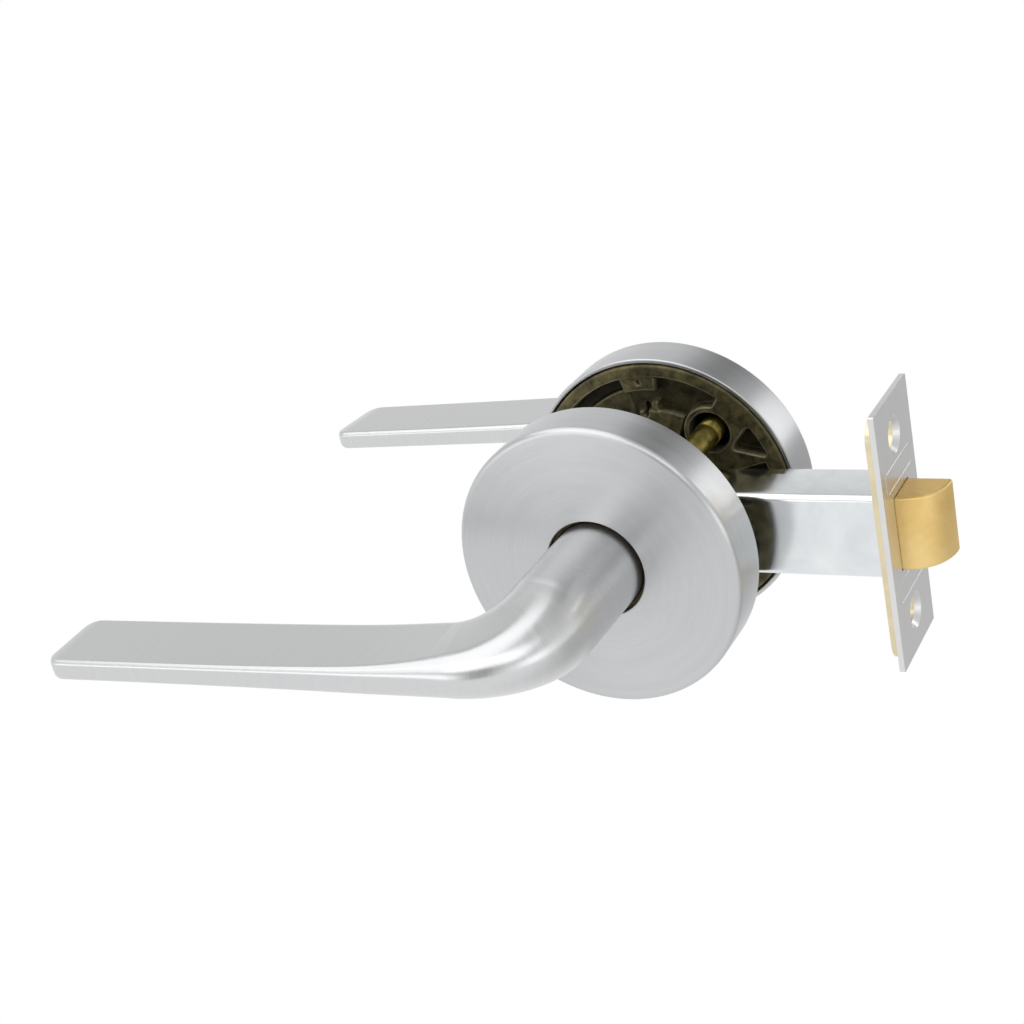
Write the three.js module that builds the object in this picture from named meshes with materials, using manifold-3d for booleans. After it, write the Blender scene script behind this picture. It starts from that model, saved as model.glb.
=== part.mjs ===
// Lever handle lockset for an interior door: two sprung round roses with levers on one square
// spindle, and a tubular latch between them. Millimetres, +Z up.
// The origin is where the spindle axis crosses the latch axis, in the middle of the door.
// +X points to the door's edge, along the latch. The levers point to -X.
// -Y is the outside of the door and +Y the inside. "Depth" is a distance from the door's middle.

import * as THREE from 'three';
import { mergeGeometries, mergeVertices } from 'three/addons/utils/BufferGeometryUtils.js';
import Module from 'manifold-3d';

const wasm = await Module();
wasm.setup();

// ---- Driving dimensions -------------------------------------------------------------------

const DOOR_THICKNESS = 26.8;
const BACKSET = 60;
const TURN_SEGMENTS = 36;

const ROSE_RADIUS = 32.4;
const ROSE_DEPTH = 11.6;
const COVER_WALL = 1;
const COVER_EDGE_RADIUS = 1.35;
const NECK_HOLE_RADIUS = 11.2;

const PLATE_RADIUS = 31;
const PLATE_RIM_INNER = 28;
const PLATE_FLOOR_INNER = 13.9;
const SNAP_RING_RADIUS = 14.8;
const POST_CIRCLE_RADIUS = 20;
const POST_ANGLE = THREE.MathUtils.degToRad(47);
const BOSS_RADIUS = 6.2;
const BOSS_POCKET_RADIUS = 4.6;
const SCREW_HOLE_RADIUS = 2.2;

const NECK_RADIUS = 10.2;
const SPIGOT_RADIUS = 8.8;
const LEVER_AXIS_DEPTH = 62.2;
const LEVER_BEND_RADIUS = 12;
const LEVER_INNER_RADIUS = 7;
const LEVER_TIP = 116.4;
const BLADE_HALF_WIDTH = 9.7;
const BLADE_HALF_THICKNESS = 2.45;
const BLADE_SWELL = 3.2;
const BLADE_SWELL_LENGTH = 17;
const BLADE_CORNER = 1.15;
const BLADE_CORNER_LENGTH = 25;
const BLADE_CORNER_POWER = 1.3;
const BLADE_FALL = 0.0372;
const BLADE_DROP = 0.95;
const BLADE_LATE_DROP = 0.45;
const LATE_DROP_START = 64;
const LATE_DROP_END = 94;
const FLATTEN_START = 44;
const FLATTEN_END = 70;
const THINNING_START = 66;
const TIP_ROUND = 3.6;
const TIP_THINNING = 1.1;
const TIP_RISE = 0.7;
const TIP_SLANT = 0.85;
const TIP_SLANT_LENGTH = 30;

const GRUB_SCREW_RADIUS = 2.5;
const GRUB_SCREW_LENGTH = 5;
const GRUB_SCREW_DEPTH = 32;

const SPINDLE_WIDTH = 8;
const SPINDLE_LENGTH = 78;
const SOCKET_WIDTH = 8.3;

const CASE_WIDTH = 14.5;
const CASE_HEIGHT = 18.8;
const CASE_WALL = 1;
const CASE_CORNER = 1.5;
const CASE_REAR = -13;
const FACEPLATE_LENGTH = 57.5;
const FACEPLATE_WIDTH = 23.4;
const PLATE_THICKNESS = 1.2;
const FACEPLATE_HOLE_SPACING = 40.4;
const FACEPLATE_SINK = [2.9, 4.1];
const BACKING_SINK = [3.9, 3.9];

const BOLT_WIDTH = 10.5;
const BOLT_HEIGHT = 16.2;
const BOLT_PROJECTION = 9.5;
const BOLT_BACK = 44;

// ---- Depths and places worked out from them --------------------------------------------------

const SEAT = DOOR_THICKNESS / 2;
const ROSE_FACE = SEAT + ROSE_DEPTH;
const COVER_UNDERSIDE = ROSE_FACE - COVER_WALL;
const FLOOR_FRONT = SEAT + 1.8;
const FLOOR_BACK = FLOOR_FRONT + 2;
const ROTOR_RADIUS = PLATE_FLOOR_INNER - 0.3;
const ROTOR_FLANGE = FLOOR_BACK + 1.1;
const BOSS_TOP = SEAT + 8;
const BEND_START = LEVER_AXIS_DEPTH - LEVER_BEND_RADIUS;
const BEND_END = BEND_START + LEVER_BEND_RADIUS * Math.PI / 2;
const CASE_FRONT = BACKSET - 2 * PLATE_THICKNESS;
const CASE_NOSE = BACKSET - PLATE_THICKNESS;
const CASE_INNER_WIDTH = CASE_WIDTH - 2 * CASE_WALL;
const CASE_INNER_HEIGHT = CASE_HEIGHT - 2 * CASE_WALL;

// ---- Finishes -------------------------------------------------------------------------------

const FINISHES = {
  satin_chrome: { color: 0xb9babc, roughness: 0.35, metalness: 1 },
  chromate: { color: 0x6a6444, roughness: 0.6, metalness: 0.8 },
  yellow_zinc: { color: 0xb09a4c, roughness: 0.4, metalness: 1 },
  bright_zinc: { color: 0xc6cacd, roughness: 0.25, metalness: 1 },
  brass: { color: 0xc7ab78, roughness: 0.4, metalness: 1 },
  bronze: { color: 0x7b6a45, roughness: 0.5, metalness: 1 },
  spring_steel: { color: 0x8a8d90, roughness: 0.3, metalness: 1 },
  steel: { color: 0x77797c, roughness: 0.4, metalness: 1 },
  black_nylon: { color: 0x1b1b1c, roughness: 0.6, metalness: 0 },
};

// ---- Helpers ---------------------------------------------------------------------------------

// A closed three.js geometry as a solid that can be cut and joined.
function solid(geometry) {
  const bare = geometry.index ? geometry.toNonIndexed() : geometry.clone();
  bare.deleteAttribute('normal');
  bare.deleteAttribute('uv');
  const merged = mergeVertices(bare, 1e-5);
  return new wasm.Manifold(new wasm.Mesh({
    numProp: 3,
    vertProperties: new Float32Array(merged.attributes.position.array),
    triVerts: new Uint32Array(merged.index.array),
  }));
}

// A cut solid as a three.js geometry again.
function surface(shape) {
  const mesh = shape.getMesh();
  const geometry = new THREE.BufferGeometry();
  geometry.setAttribute('position', new THREE.BufferAttribute(mesh.vertProperties, 3));
  geometry.setIndex(new THREE.BufferAttribute(mesh.triVerts, 1));
  geometry.computeVertexNormals();
  return geometry;
}

function joined(shapes) {
  return shapes.reduce((whole, piece) => whole.add(piece));
}

function without(shape, cuts) {
  return cuts.reduce((rest, cut) => rest.subtract(cut), shape);
}

// A box from its lowest to its highest corner.
function block(low, high) {
  const size = high.map((value, axis) => value - low[axis]);
  const middle = high.map((value, axis) => (value + low[axis]) / 2);
  return solid(new THREE.BoxGeometry(...size).translate(...middle));
}

// A ring or disc turned about the Y axis, from points of radius and depth that close on themselves.
function turned(points, segments = TURN_SEGMENTS) {
  const profile = points.map(([radius, depth]) => new THREE.Vector2(radius, depth));
  profile.push(profile[0].clone());
  return new THREE.LatheGeometry(profile, segments);
}

// A plain ring about the Y axis.
function ring(inner, outer, from, to, segments = TURN_SEGMENTS) {
  return turned([[inner, from], [outer, from], [outer, to], [inner, to]], segments);
}

// A round rod along Y, centred at x and z.
function rodY(radius, from, to, x = 0, z = 0, segments = 16) {
  const rod = new THREE.CylinderGeometry(radius, radius, to - from, segments);
  return solid(rod.translate(x, (from + to) / 2, z));
}

// A round rod along X, centred at y and z; the second radius is at its far end.
function rodX(radius, from, to, y = 0, z = 0, farRadius = radius, segments = 16) {
  const rod = new THREE.CylinderGeometry(farRadius, radius, to - from, segments);
  return solid(rod.rotateZ(-Math.PI / 2).translate((from + to) / 2, y, z));
}

// A bar along Y, square with its four edges taken off.
function squareBar(width, from, to, chamfer = 0.6) {
  const half = width / 2;
  const inset = half - chamfer;
  const outline = new THREE.Shape([
    [half, -inset], [half, inset], [inset, half], [-inset, half],
    [-half, inset], [-half, -inset], [-inset, -half], [inset, -half],
  ].map(([x, y]) => new THREE.Vector2(x, y)));
  const bar = new THREE.ExtrudeGeometry(outline, { depth: to - from, bevelEnabled: false });
  return solid(bar.rotateX(Math.PI / 2).translate(0, to, 0));
}

// A rounded rectangle in Y and Z, carried from one x to another.
function roundedSlab(width, height, corner, from, to, curveSegments = 5) {
  const halfWidth = width / 2;
  const halfHeight = height / 2;
  const outline = new THREE.Shape();
  outline.moveTo(-halfWidth + corner, -halfHeight);
  outline.lineTo(halfWidth - corner, -halfHeight);
  outline.absarc(halfWidth - corner, -halfHeight + corner, corner, -Math.PI / 2, 0);
  outline.lineTo(halfWidth, halfHeight - corner);
  outline.absarc(halfWidth - corner, halfHeight - corner, corner, 0, Math.PI / 2);
  outline.lineTo(-halfWidth + corner, halfHeight);
  outline.absarc(-halfWidth + corner, halfHeight - corner, corner, Math.PI / 2, Math.PI);
  outline.lineTo(-halfWidth, -halfHeight + corner);
  outline.absarc(-halfWidth + corner, -halfHeight + corner, corner, Math.PI, 1.5 * Math.PI);
  const slab = new THREE.ExtrudeGeometry(outline, { depth: to - from, bevelEnabled: false, curveSegments });
  return solid(slab.rotateX(Math.PI / 2).rotateZ(Math.PI / 2).translate(from, 0, 0));
}

// A sector of a ring about the Y axis, between two angles from +X towards +Z.
function sector(inner, outer, startAngle, endAngle, from, to) {
  const curveSegments = Math.ceil((endAngle - startAngle) / (Math.PI / 13));
  const outline = new THREE.Shape();
  outline.absarc(0, 0, outer, startAngle, endAngle, false);
  outline.absarc(0, 0, inner, endAngle, startAngle, true);
  const piece = new THREE.ExtrudeGeometry(outline, { depth: to - from, bevelEnabled: false, curveSegments });
  return solid(piece.rotateX(Math.PI / 2).translate(0, to, 0));
}

// A wire of round section along a curve, with closed ends.
function wire(curve, radius, steps) {
  const outline = new THREE.Shape();
  outline.absarc(0, 0, radius, 0, 2 * Math.PI);
  return new THREE.ExtrudeGeometry(outline, { steps, extrudePath: curve, curveSegments: 3 });
}

class CoilCurve extends THREE.Curve {
  constructor(radius, start, length, turns, alongX) {
    super();
    Object.assign(this, { radius, start, length, turns, alongX });
  }

  getPoint(t, target = new THREE.Vector3()) {
    const angle = 2 * Math.PI * this.turns * t;
    const across = this.radius * Math.cos(angle);
    const up = this.radius * Math.sin(angle);
    const along = this.start + this.length * t;
    return this.alongX ? target.set(along, across, up) : target.set(across, along, up);
  }
}

const group = new THREE.Group();

function place(name, finish, geometry, parent = group) {
  const mesh = new THREE.Mesh(geometry, new THREE.MeshStandardMaterial(FINISHES[finish]));
  mesh.name = name;
  parent.add(mesh);
  return mesh;
}

// ---- Rose: cover, base plate and the sprung rotor, with the door's middle at Y = 0 --------------

// The cup that shows: a flat face with the neck hole, a small rolled edge and a thin side.
function roseCover() {
  const edge = ROSE_RADIUS - COVER_EDGE_RADIUS;
  const arc = [0, 1, 2, 3].map((step) => {
    const angle = (step / 3) * Math.PI / 2;
    const radius = edge + COVER_EDGE_RADIUS * Math.cos(angle);
    return [radius, ROSE_FACE - COVER_EDGE_RADIUS + COVER_EDGE_RADIUS * Math.sin(angle)];
  });
  const inner = ROSE_RADIUS - COVER_WALL;
  return turned([
    [inner, SEAT], [ROSE_RADIUS, SEAT], ...arc,
    [NECK_HOLE_RADIUS, ROSE_FACE], [NECK_HOLE_RADIUS, COVER_UNDERSIDE], [inner, COVER_UNDERSIDE],
  ], 48);
}

// The die casting behind it: a rim that sits on the door, a sunken floor with a central opening for
// the rotor, a lug, an arc step, pockets that save metal, and two bosses for the fixing posts.
function basePlate() {
  const rim = solid(ring(PLATE_RIM_INNER, PLATE_RADIUS, SEAT, SEAT + 9));
  const floor = solid(ring(PLATE_FLOOR_INNER, PLATE_RIM_INNER + 1, FLOOR_FRONT, FLOOR_BACK));
  const lugHalfAngle = THREE.MathUtils.degToRad(9);
  const lugAngle = THREE.MathUtils.degToRad(94);
  const lug = sector(24.6, 28.6, lugAngle - lugHalfAngle, lugAngle + lugHalfAngle, SEAT + 0.3, FLOOR_BACK);
  const step = sector(PLATE_FLOOR_INNER - 0.5, 19.8, 0.4 * Math.PI, 0.5 * Math.PI, SEAT + 0.8, FLOOR_BACK);
  const quarter = sector(PLATE_FLOOR_INNER, 29, 0.1, POST_ANGLE, SEAT + 0.4, FLOOR_BACK);
  const opposite = sector(PLATE_FLOOR_INNER, 29, Math.PI + 0.1, Math.PI + POST_ANGLE, SEAT + 0.4, FLOOR_BACK);
  const bosses = [];
  const holes = [];
  for (const turn of [0, Math.PI]) {
    const x = POST_CIRCLE_RADIUS * Math.cos(POST_ANGLE + turn);
    const z = POST_CIRCLE_RADIUS * Math.sin(POST_ANGLE + turn);
    bosses.push(rodY(BOSS_RADIUS, SEAT + 0.4, BOSS_TOP, x, z));
    holes.push(rodY(BOSS_POCKET_RADIUS, SEAT - 1, BOSS_TOP - 1.2, x, z));
    holes.push(rodY(SCREW_HOLE_RADIUS, SEAT, BOSS_TOP + 1, x, z));
    holes.push(sector(21.6, 26.4, turn + 0.32, turn + 0.58, SEAT - 1, FLOOR_BACK - 0.6));
  }
  const groove = sector(25.2, PLATE_RIM_INNER, 1.85, 2.7, SEAT, FLOOR_FRONT + 0.8);
  const slot = block([-1.7, FLOOR_FRONT - 1, 18.6], [-0.7, FLOOR_BACK + 1, 20.8]);
  const opening = rodY(PLATE_FLOOR_INNER, SEAT - 1, BOSS_TOP + 1, 0, 0, TURN_SEGMENTS);
  const ringRoom = rodY(SNAP_RING_RADIUS + 0.25, SEAT - 1, FLOOR_FRONT, 0, 0, TURN_SEGMENTS);
  const flangeRoom = rodY(ROTOR_RADIUS + 2.4, FLOOR_BACK, BOSS_TOP + 1, 0, 0, TURN_SEGMENTS);
  const casting = joined([rim, floor, lug, step, quarter, opposite, ...bosses]);
  return surface(without(casting, [...holes, groove, slot, opening, ringRoom, flangeRoom]));
}

// The round carrier that the lever's spigot drives: it turns in the base plate's opening.
function rotor() {
  const grooveRadius = ROTOR_RADIUS - 0.7;
  const body = solid(turned([
    [SPIGOT_RADIUS - 1, SEAT + 0.6], [ROTOR_RADIUS, SEAT + 0.6], [ROTOR_RADIUS, SEAT + 0.9],
    [grooveRadius, SEAT + 0.9], [grooveRadius, SEAT + 1.6], [ROTOR_RADIUS, SEAT + 1.6],
    [ROTOR_RADIUS, ROTOR_FLANGE], [ROTOR_RADIUS + 2, ROTOR_FLANGE],
    [ROTOR_RADIUS + 2, ROTOR_FLANGE + 1.2], [SPIGOT_RADIUS - 1, ROTOR_FLANGE + 1.2],
  ]));
  const springLug = sector(14.6, 15.8, 0.9 * Math.PI, 1.1 * Math.PI, ROTOR_FLANGE + 1, BOSS_TOP);
  return surface(joined([body, springLug]).subtract(spigot(SPIGOT_RADIUS + 0.15, 0.15, SEAT, ROSE_FACE)));
}

// The lever's keyed end: a rod with two flats.
function spigot(radius, flatClearance, from, to) {
  const flat = SPIGOT_RADIUS - 1.2 + flatClearance;
  return rodY(radius, from, to, 0, 0, 36).intersect(block([-flat, from - 1, -20], [flat, to + 1, 20]));
}

// The open wire ring in the rotor's groove that stops it from pulling out of the plate.
function snapRing() {
  const inner = ROTOR_RADIUS - 0.5;
  return surface(sector(inner, SNAP_RING_RADIUS, -1.35, 1.4 * Math.PI, SEAT + 1, SEAT + 1.5));
}

// A hardened washer between the plate's floor and the rotor's flange.
function thrustWasher() {
  return ring(ROTOR_RADIUS + 0.2, ROTOR_RADIUS + 2, FLOOR_BACK + 0.2, FLOOR_BACK + 0.8);
}

// The sintered bush around the neck, seen through the gap at the cover's hole.
function neckBush() {
  return ring(NECK_RADIUS + 0.2, 12.3, ROTOR_FLANGE + 1.5, COVER_UNDERSIDE - 0.4, 36);
}

// The torsion spring round the bush, two turns of flat-lying wire.
function returnSpring() {
  return wire(new CoilCurve(13.6, ROTOR_FLANGE + 2.3, 2.2, 1.8, false), 0.7, 30);
}

// ---- Lever ----------------------------------------------------------------------------------

const smooth = THREE.MathUtils.smoothstep;
const mix = THREE.MathUtils.lerp;

// The points of one section: a rounded rectangle that is a circle while its corners are full.
function sectionPoints(halfWidth, halfThickness, corner, perCorner) {
  const points = [];
  const corners = [[1, 1, 0], [-1, 1, 1], [-1, -1, 2], [1, -1, 3]];
  for (const [sideX, sideZ, quarter] of corners) {
    for (let step = 0; step <= perCorner; step += 1) {
      const angle = (quarter + step / perCorner) * Math.PI / 2;
      points.push([
        sideX * (halfWidth - corner) + corner * Math.cos(angle),
        sideZ * (halfThickness - corner) + corner * Math.sin(angle),
      ]);
    }
  }
  return points;
}

// One station of the lever: its section, and how far that section has dropped.
function leverStation(distance) {
  const flatten = smooth(distance, FLATTEN_START, FLATTEN_END);
  const past = Math.max(0, distance - THINNING_START);
  const bladeThickness = BLADE_HALF_THICKNESS + BLADE_SWELL * Math.exp(-past / BLADE_SWELL_LENGTH);
  const halfThickness = mix(NECK_RADIUS, bladeThickness, flatten);
  const halfWidth = mix(NECK_RADIUS, BLADE_HALF_WIDTH, flatten);
  const sharpen = 1 - Math.exp(-((past / BLADE_CORNER_LENGTH) ** BLADE_CORNER_POWER));
  const corner = mix(Math.min(halfWidth, halfThickness), BLADE_CORNER, sharpen);
  const fall = BLADE_FALL * Math.max(0, distance - BEND_END);
  const lateDrop = BLADE_LATE_DROP * smooth(distance, LATE_DROP_START, LATE_DROP_END);
  const drop = -fall - BLADE_DROP * flatten - lateDrop;
  return { distance, halfWidth, halfThickness, corner, drop };
}

// A point on one side of the lever's plan: straight up to start, round a quarter bend that takes
// until end, then straight along the blade.
function planPoint(distance, start, end, centre, radius) {
  const turn = THREE.MathUtils.clamp((distance - start) / (end - start), 0, 1) * Math.PI / 2;
  const straight = Math.max(0, distance - end);
  const x = radius * Math.cos(turn) - centre - straight;
  const depth = Math.min(distance, start) + radius * Math.sin(turn);
  return [x, depth];
}

// The plan's two sides at a station. The inner side bends round a farther centre than the outer
// side, which fills the inside corner out to its own radius.
function planSides(distance, halfWidth) {
  const fill = LEVER_INNER_RADIUS + NECK_RADIUS - LEVER_BEND_RADIUS;
  const outerRadius = LEVER_BEND_RADIUS + halfWidth;
  const outer = planPoint(distance, BEND_START, BEND_END, LEVER_BEND_RADIUS, outerRadius);
  const centre = LEVER_BEND_RADIUS + fill;
  const inner = planPoint(distance, BEND_START - fill, BEND_END + fill, centre, centre - halfWidth);
  return [inner, outer];
}

// The lever's skin: sections carried along its centreline, with the tip's corners rounded off.
function leverSkin(up) {
  const perCorner = 4;
  const stations = [];
  const neckStart = ROTOR_FLANGE + 1.4;
  const bladeEnd = BEND_END + LEVER_TIP - LEVER_BEND_RADIUS;
  for (const distance of [neckStart, GRUB_SCREW_DEPTH, FLATTEN_START]) {
    stations.push(leverStation(distance));
  }
  for (let step = 1; step <= 10; step += 1) {
    stations.push(leverStation(mix(FLATTEN_START, BEND_END, step / 10)));
  }
  for (const part of [0.05, 0.1, 0.15, 0.2, 0.35, 0.55, 0.75]) {
    stations.push(leverStation(mix(BEND_END, bladeEnd, part)));
  }
  for (let step = 0; step <= 4; step += 1) {
    const angle = (step / 4) * Math.PI / 2;
    const station = leverStation(bladeEnd - TIP_ROUND + TIP_ROUND * Math.sin(angle));
    station.halfWidth -= TIP_ROUND * (1 - Math.cos(angle));
    station.halfThickness -= TIP_THINNING * (1 - Math.cos(angle));
    station.drop += TIP_RISE * (1 - Math.cos(angle));
    stations.push(station);
  }
  const positions = [];
  for (const station of stations) {
    const { distance, halfWidth, halfThickness, corner, drop } = station;
    const [inner, outer] = planSides(distance, halfWidth);
    const slant = TIP_SLANT * smooth(distance, bladeEnd - TIP_SLANT_LENGTH, bladeEnd) / BLADE_HALF_WIDTH;
    for (const [across, height] of sectionPoints(halfWidth, halfThickness, corner, perCorner)) {
      const share = (across / halfWidth + 1) / 2;
      const x = mix(inner[0], outer[0], share) + across * slant;
      positions.push(x, mix(inner[1], outer[1], share), up * (height + drop));
    }
  }
  const around = 4 * (perCorner + 1);
  const indices = [];
  const face = (a, b, c) => (up > 0 ? indices.push(a, b, c) : indices.push(a, c, b));
  for (let row = 0; row + 1 < stations.length; row += 1) {
    for (let column = 0; column < around; column += 1) {
      const next = (column + 1) % around;
      const [a, b] = [row * around + column, row * around + next];
      face(a, a + around, b);
      face(b, a + around, b + around);
    }
  }
  for (let column = 1; column + 1 < around; column += 1) {
    const last = (stations.length - 1) * around;
    face(0, column, column + 1);
    face(last, last + column + 1, last + column);
  }
  const geometry = new THREE.BufferGeometry();
  geometry.setAttribute('position', new THREE.Float32BufferAttribute(positions, 3));
  geometry.setIndex(indices);
  return geometry;
}

// The whole lever: skin, keyed spigot, square socket for the spindle and the grub screw's hole.
function lever(up) {
  const whole = solid(leverSkin(up)).add(spigot(SPIGOT_RADIUS, 0, SEAT + 0.2, ROTOR_FLANGE + 2));
  const socket = squareBar(SOCKET_WIDTH, 0, SPINDLE_LENGTH / 2 + 1);
  const screwHole = rodUnder(up, GRUB_SCREW_RADIUS + 0.2, 3, NECK_RADIUS + 2, 16);
  return surface(without(whole, [socket, screwHole]));
}

// A rod under the neck at the grub screw's depth, between two distances from the spindle's axis.
function rodUnder(up, radius, near, far, segments) {
  const rod = new THREE.CylinderGeometry(radius, radius, far - near, segments).rotateX(Math.PI / 2);
  return solid(rod.translate(0, GRUB_SCREW_DEPTH, -up * (near + far) / 2));
}

// The grub screw that grips the spindle, with its hexagon socket.
function grubScrew(up) {
  const near = SPINDLE_WIDTH / 2 + 0.2;
  const body = rodUnder(up, GRUB_SCREW_RADIUS, near, near + GRUB_SCREW_LENGTH, 16);
  return surface(body.subtract(rodUnder(up, 1.4, near + GRUB_SCREW_LENGTH - 2, NECK_RADIUS + 3, 6)));
}

// ---- Fixings through the door -----------------------------------------------------------------

// A threaded post riveted into the outside plate; it reaches into the inside plate's boss.
function fixingPost(x, z) {
  const shoulder = BOSS_TOP - 1.5;
  const shank = rodY(2.95, -shoulder, SEAT + 5, x, z);
  const rivet = rodY(SCREW_HOLE_RADIUS - 0.15, -BOSS_TOP - 1, -shoulder + 1, x, z);
  const head = rodY(3.4, -BOSS_TOP - 1.4, -BOSS_TOP - 0.3, x, z);
  return surface(joined([shank, rivet, head]).subtract(rodY(2.05, -6, SEAT + 6, x, z)));
}

// The machine screw that draws the inside rose to the post.
function fixingScrew(x, z) {
  const shank = rodY(1.9, 2, BOSS_TOP + 1, x, z);
  const head = rodY(3.5, BOSS_TOP + 0.2, BOSS_TOP + 2.2, x, z);
  const slots = [[3, 0.4], [0.4, 3]].map(([wide, tall]) => (
    block([x - wide, BOSS_TOP + 1.2, z - tall], [x + wide, BOSS_TOP + 3, z + tall])));
  return surface(without(joined([shank, head]), slots));
}

// ---- Latch ---------------------------------------------------------------------------------

const DRAWBAR_LEVEL = 7.7;
const DRAWBAR_THICKNESS = 0.9;
const HORN_RADIUS = 11;
const HORN_ADVANCE = THREE.MathUtils.degToRad(25);
const BOLT_HOOK = BOLT_BACK + 2.2;
const DRAWBAR_TAB_FACE = 1.5;
const DRAWBAR_WINDOW_END = 15.2;
const DRAWBAR_WEB = 33.3;

// The folded steel case: a rounded tube closed behind, with holes for the hub, slots for the hub's
// horns, rivet holes and a stepped fold along its top. Its open end passes the backing plate.
function latchCase() {
  const shell = roundedSlab(CASE_WIDTH, CASE_HEIGHT, CASE_CORNER, CASE_REAR, CASE_NOSE);
  const hollow = roundedSlab(CASE_INNER_WIDTH, CASE_INNER_HEIGHT, 0.6, CASE_REAR + CASE_WALL, CASE_NOSE + 1);
  const hubHole = rodY(6.6, -CASE_WIDTH, CASE_WIDTH, 0, 0, 36);
  const hornSlot = block([-9.5, -3.4, -CASE_HEIGHT], [11, 3.4, CASE_HEIGHT]);
  const fold = block([9, 2.2, CASE_HEIGHT / 2 - 0.4], [31, 10, CASE_HEIGHT]);
  const foldEnd = block([30.9, 3.5, CASE_HEIGHT / 2 - 0.4], [34, 10, CASE_HEIGHT]);
  const rivets = RIVET_HEIGHTS.map((z) => rodY(1.7, -CASE_WIDTH, CASE_WIDTH, RIVET_X, z));
  return surface(without(shell, [hollow, hubHole, hornSlot, fold, foldEnd, ...rivets]));
}

const RIVET_X = 17.5;
const RIVET_HEIGHTS = [4.6, -4.6];

// A rivet through the case, with a head on each side.
function caseRivet(z) {
  const inside = CASE_WIDTH / 2 + 0.1;
  const outside = inside + 0.6;
  const shank = rodY(1.5, -outside + 0.1, outside - 0.1, RIVET_X, z, 16);
  const heads = [[-outside, -inside], [inside, outside]].map(([from, to]) => rodY(2.5, from, to, RIVET_X, z, 16));
  return surface(joined([shank, ...heads]));
}

// The hub that the spindle turns: a barrel with journals and two horns.
function latchHub() {
  const halfLength = CASE_INNER_WIDTH / 2 - 0.2;
  const barrel = rodY(6.5, -halfLength, halfLength, 0, 0, 36);
  const journals = rodY(6.35, -CASE_WIDTH / 2 - 0.3, CASE_WIDTH / 2 + 0.3, 0, 0, 36);
  const horns = [1, -1].map((side) => {
    const horn = new THREE.BoxGeometry(2.6, 5.6, HORN_RADIUS - 4).translate(0, 0, side * (HORN_RADIUS + 4) / 2);
    return solid(horn.rotateY(side * HORN_ADVANCE));
  });
  return surface(joined([barrel, journals, ...horns]).subtract(squareBar(SOCKET_WIDTH, -20, 20)));
}

// The drawbar: a strip above and one below the hub. Each has a window for a horn, with a tab behind
// it that the horn pushes, and a hook that pulls the bolt. Two side webs join the strips.
function drawbar() {
  const tabFace = DRAWBAR_TAB_FACE;
  const tabBack = tabFace - 1.6;
  const under = DRAWBAR_LEVEL - DRAWBAR_THICKNESS;
  const windowEnd = DRAWBAR_WINDOW_END;
  const webStart = DRAWBAR_WEB;
  const webEnd = webStart + 1.1;
  const pieces = [];
  for (const side of [1, -1]) {
    const slab = (x0, x1, y0, y1, low, high) => {
      const levels = [side * low, side * high].sort((a, b) => a - b);
      pieces.push(block([x0, y0, levels[0]], [x1, y1, levels[1]]));
    };
    slab(tabBack, tabFace, -5.2, 5.2, under, DRAWBAR_LEVEL);
    slab(tabBack, tabFace, -2.9, 2.9, under, HORN_RADIUS - 1);
    slab(windowEnd, BOLT_HOOK + 1, -3, 3, under, DRAWBAR_LEVEL);
    slab(windowEnd, windowEnd + 2.4, -5.2, 5.2, under, DRAWBAR_LEVEL);
    slab(webStart, webEnd, -5.4, 5.4, under, DRAWBAR_LEVEL);
    slab(BOLT_HOOK, BOLT_HOOK + 1, -3, 3, under - 1.6, DRAWBAR_LEVEL);
    for (const edge of [-5.2, 3.1]) {
      slab(tabBack, windowEnd + 1, edge, edge + 2.1, under, DRAWBAR_LEVEL);
    }
  }
  const webs = [-5.4, 4.4].map((edge) => (
    block([webStart, edge, -DRAWBAR_LEVEL], [webEnd, edge + 1, DRAWBAR_LEVEL])));
  return surface(joined([...pieces, ...webs]));
}

// The latch bolt: a brass block whose outside face curves back to the faceplate, flat inside.
function latchBolt() {
  const flatSide = BOLT_WIDTH / 2;
  const tip = BACKSET + BOLT_PROJECTION;
  const curveRun = 8.5;
  const outline = new THREE.Shape();
  outline.moveTo(BOLT_BACK, -flatSide);
  outline.lineTo(tip - curveRun, -flatSide);
  outline.absellipse(tip - curveRun, flatSide, curveRun, BOLT_WIDTH, -Math.PI / 2, 0);
  outline.lineTo(BOLT_BACK, flatSide);
  const shape = new THREE.ExtrudeGeometry(outline, {
    depth: BOLT_HEIGHT, bevelEnabled: false, curveSegments: 10,
  });
  const body = solid(shape.translate(0, 0, -BOLT_HEIGHT / 2));
  const hookRun = BOLT_PROJECTION + 1;
  const pockets = [1, -1].flatMap((side) => {
    const level = DRAWBAR_LEVEL - DRAWBAR_THICKNESS - 0.2;
    const [low, high] = side > 0 ? [level, 12] : [-12, -level];
    const [deepLow, deepHigh] = side > 0 ? [level - 1.8, 12] : [-12, -level + 1.8];
    return [
      block([BOLT_BACK - 1, -3.2, low], [BOLT_HOOK + hookRun, 3.2, high]),
      block([BOLT_HOOK - 0.2, -3.2, deepLow], [BOLT_HOOK + 1 + hookRun, 3.2, deepHigh]),
    ];
  });
  return surface(without(body, [...pockets, rodX(4.6, BOLT_BACK - 1, BOLT_BACK + 1.5)]));
}

// The fixed plate that the bolt's spring pushes against.
function springStop() {
  return surface(roundedSlab(CASE_INNER_WIDTH - 0.6, 12.8, 0.5, 22.6, 23.8, 2));
}

function boltSpring() {
  const start = 24.6;
  return wire(new CoilCurve(3.7, start, BOLT_BACK + 0.9 - start, 5, true), 0.45, 50);
}

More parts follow.
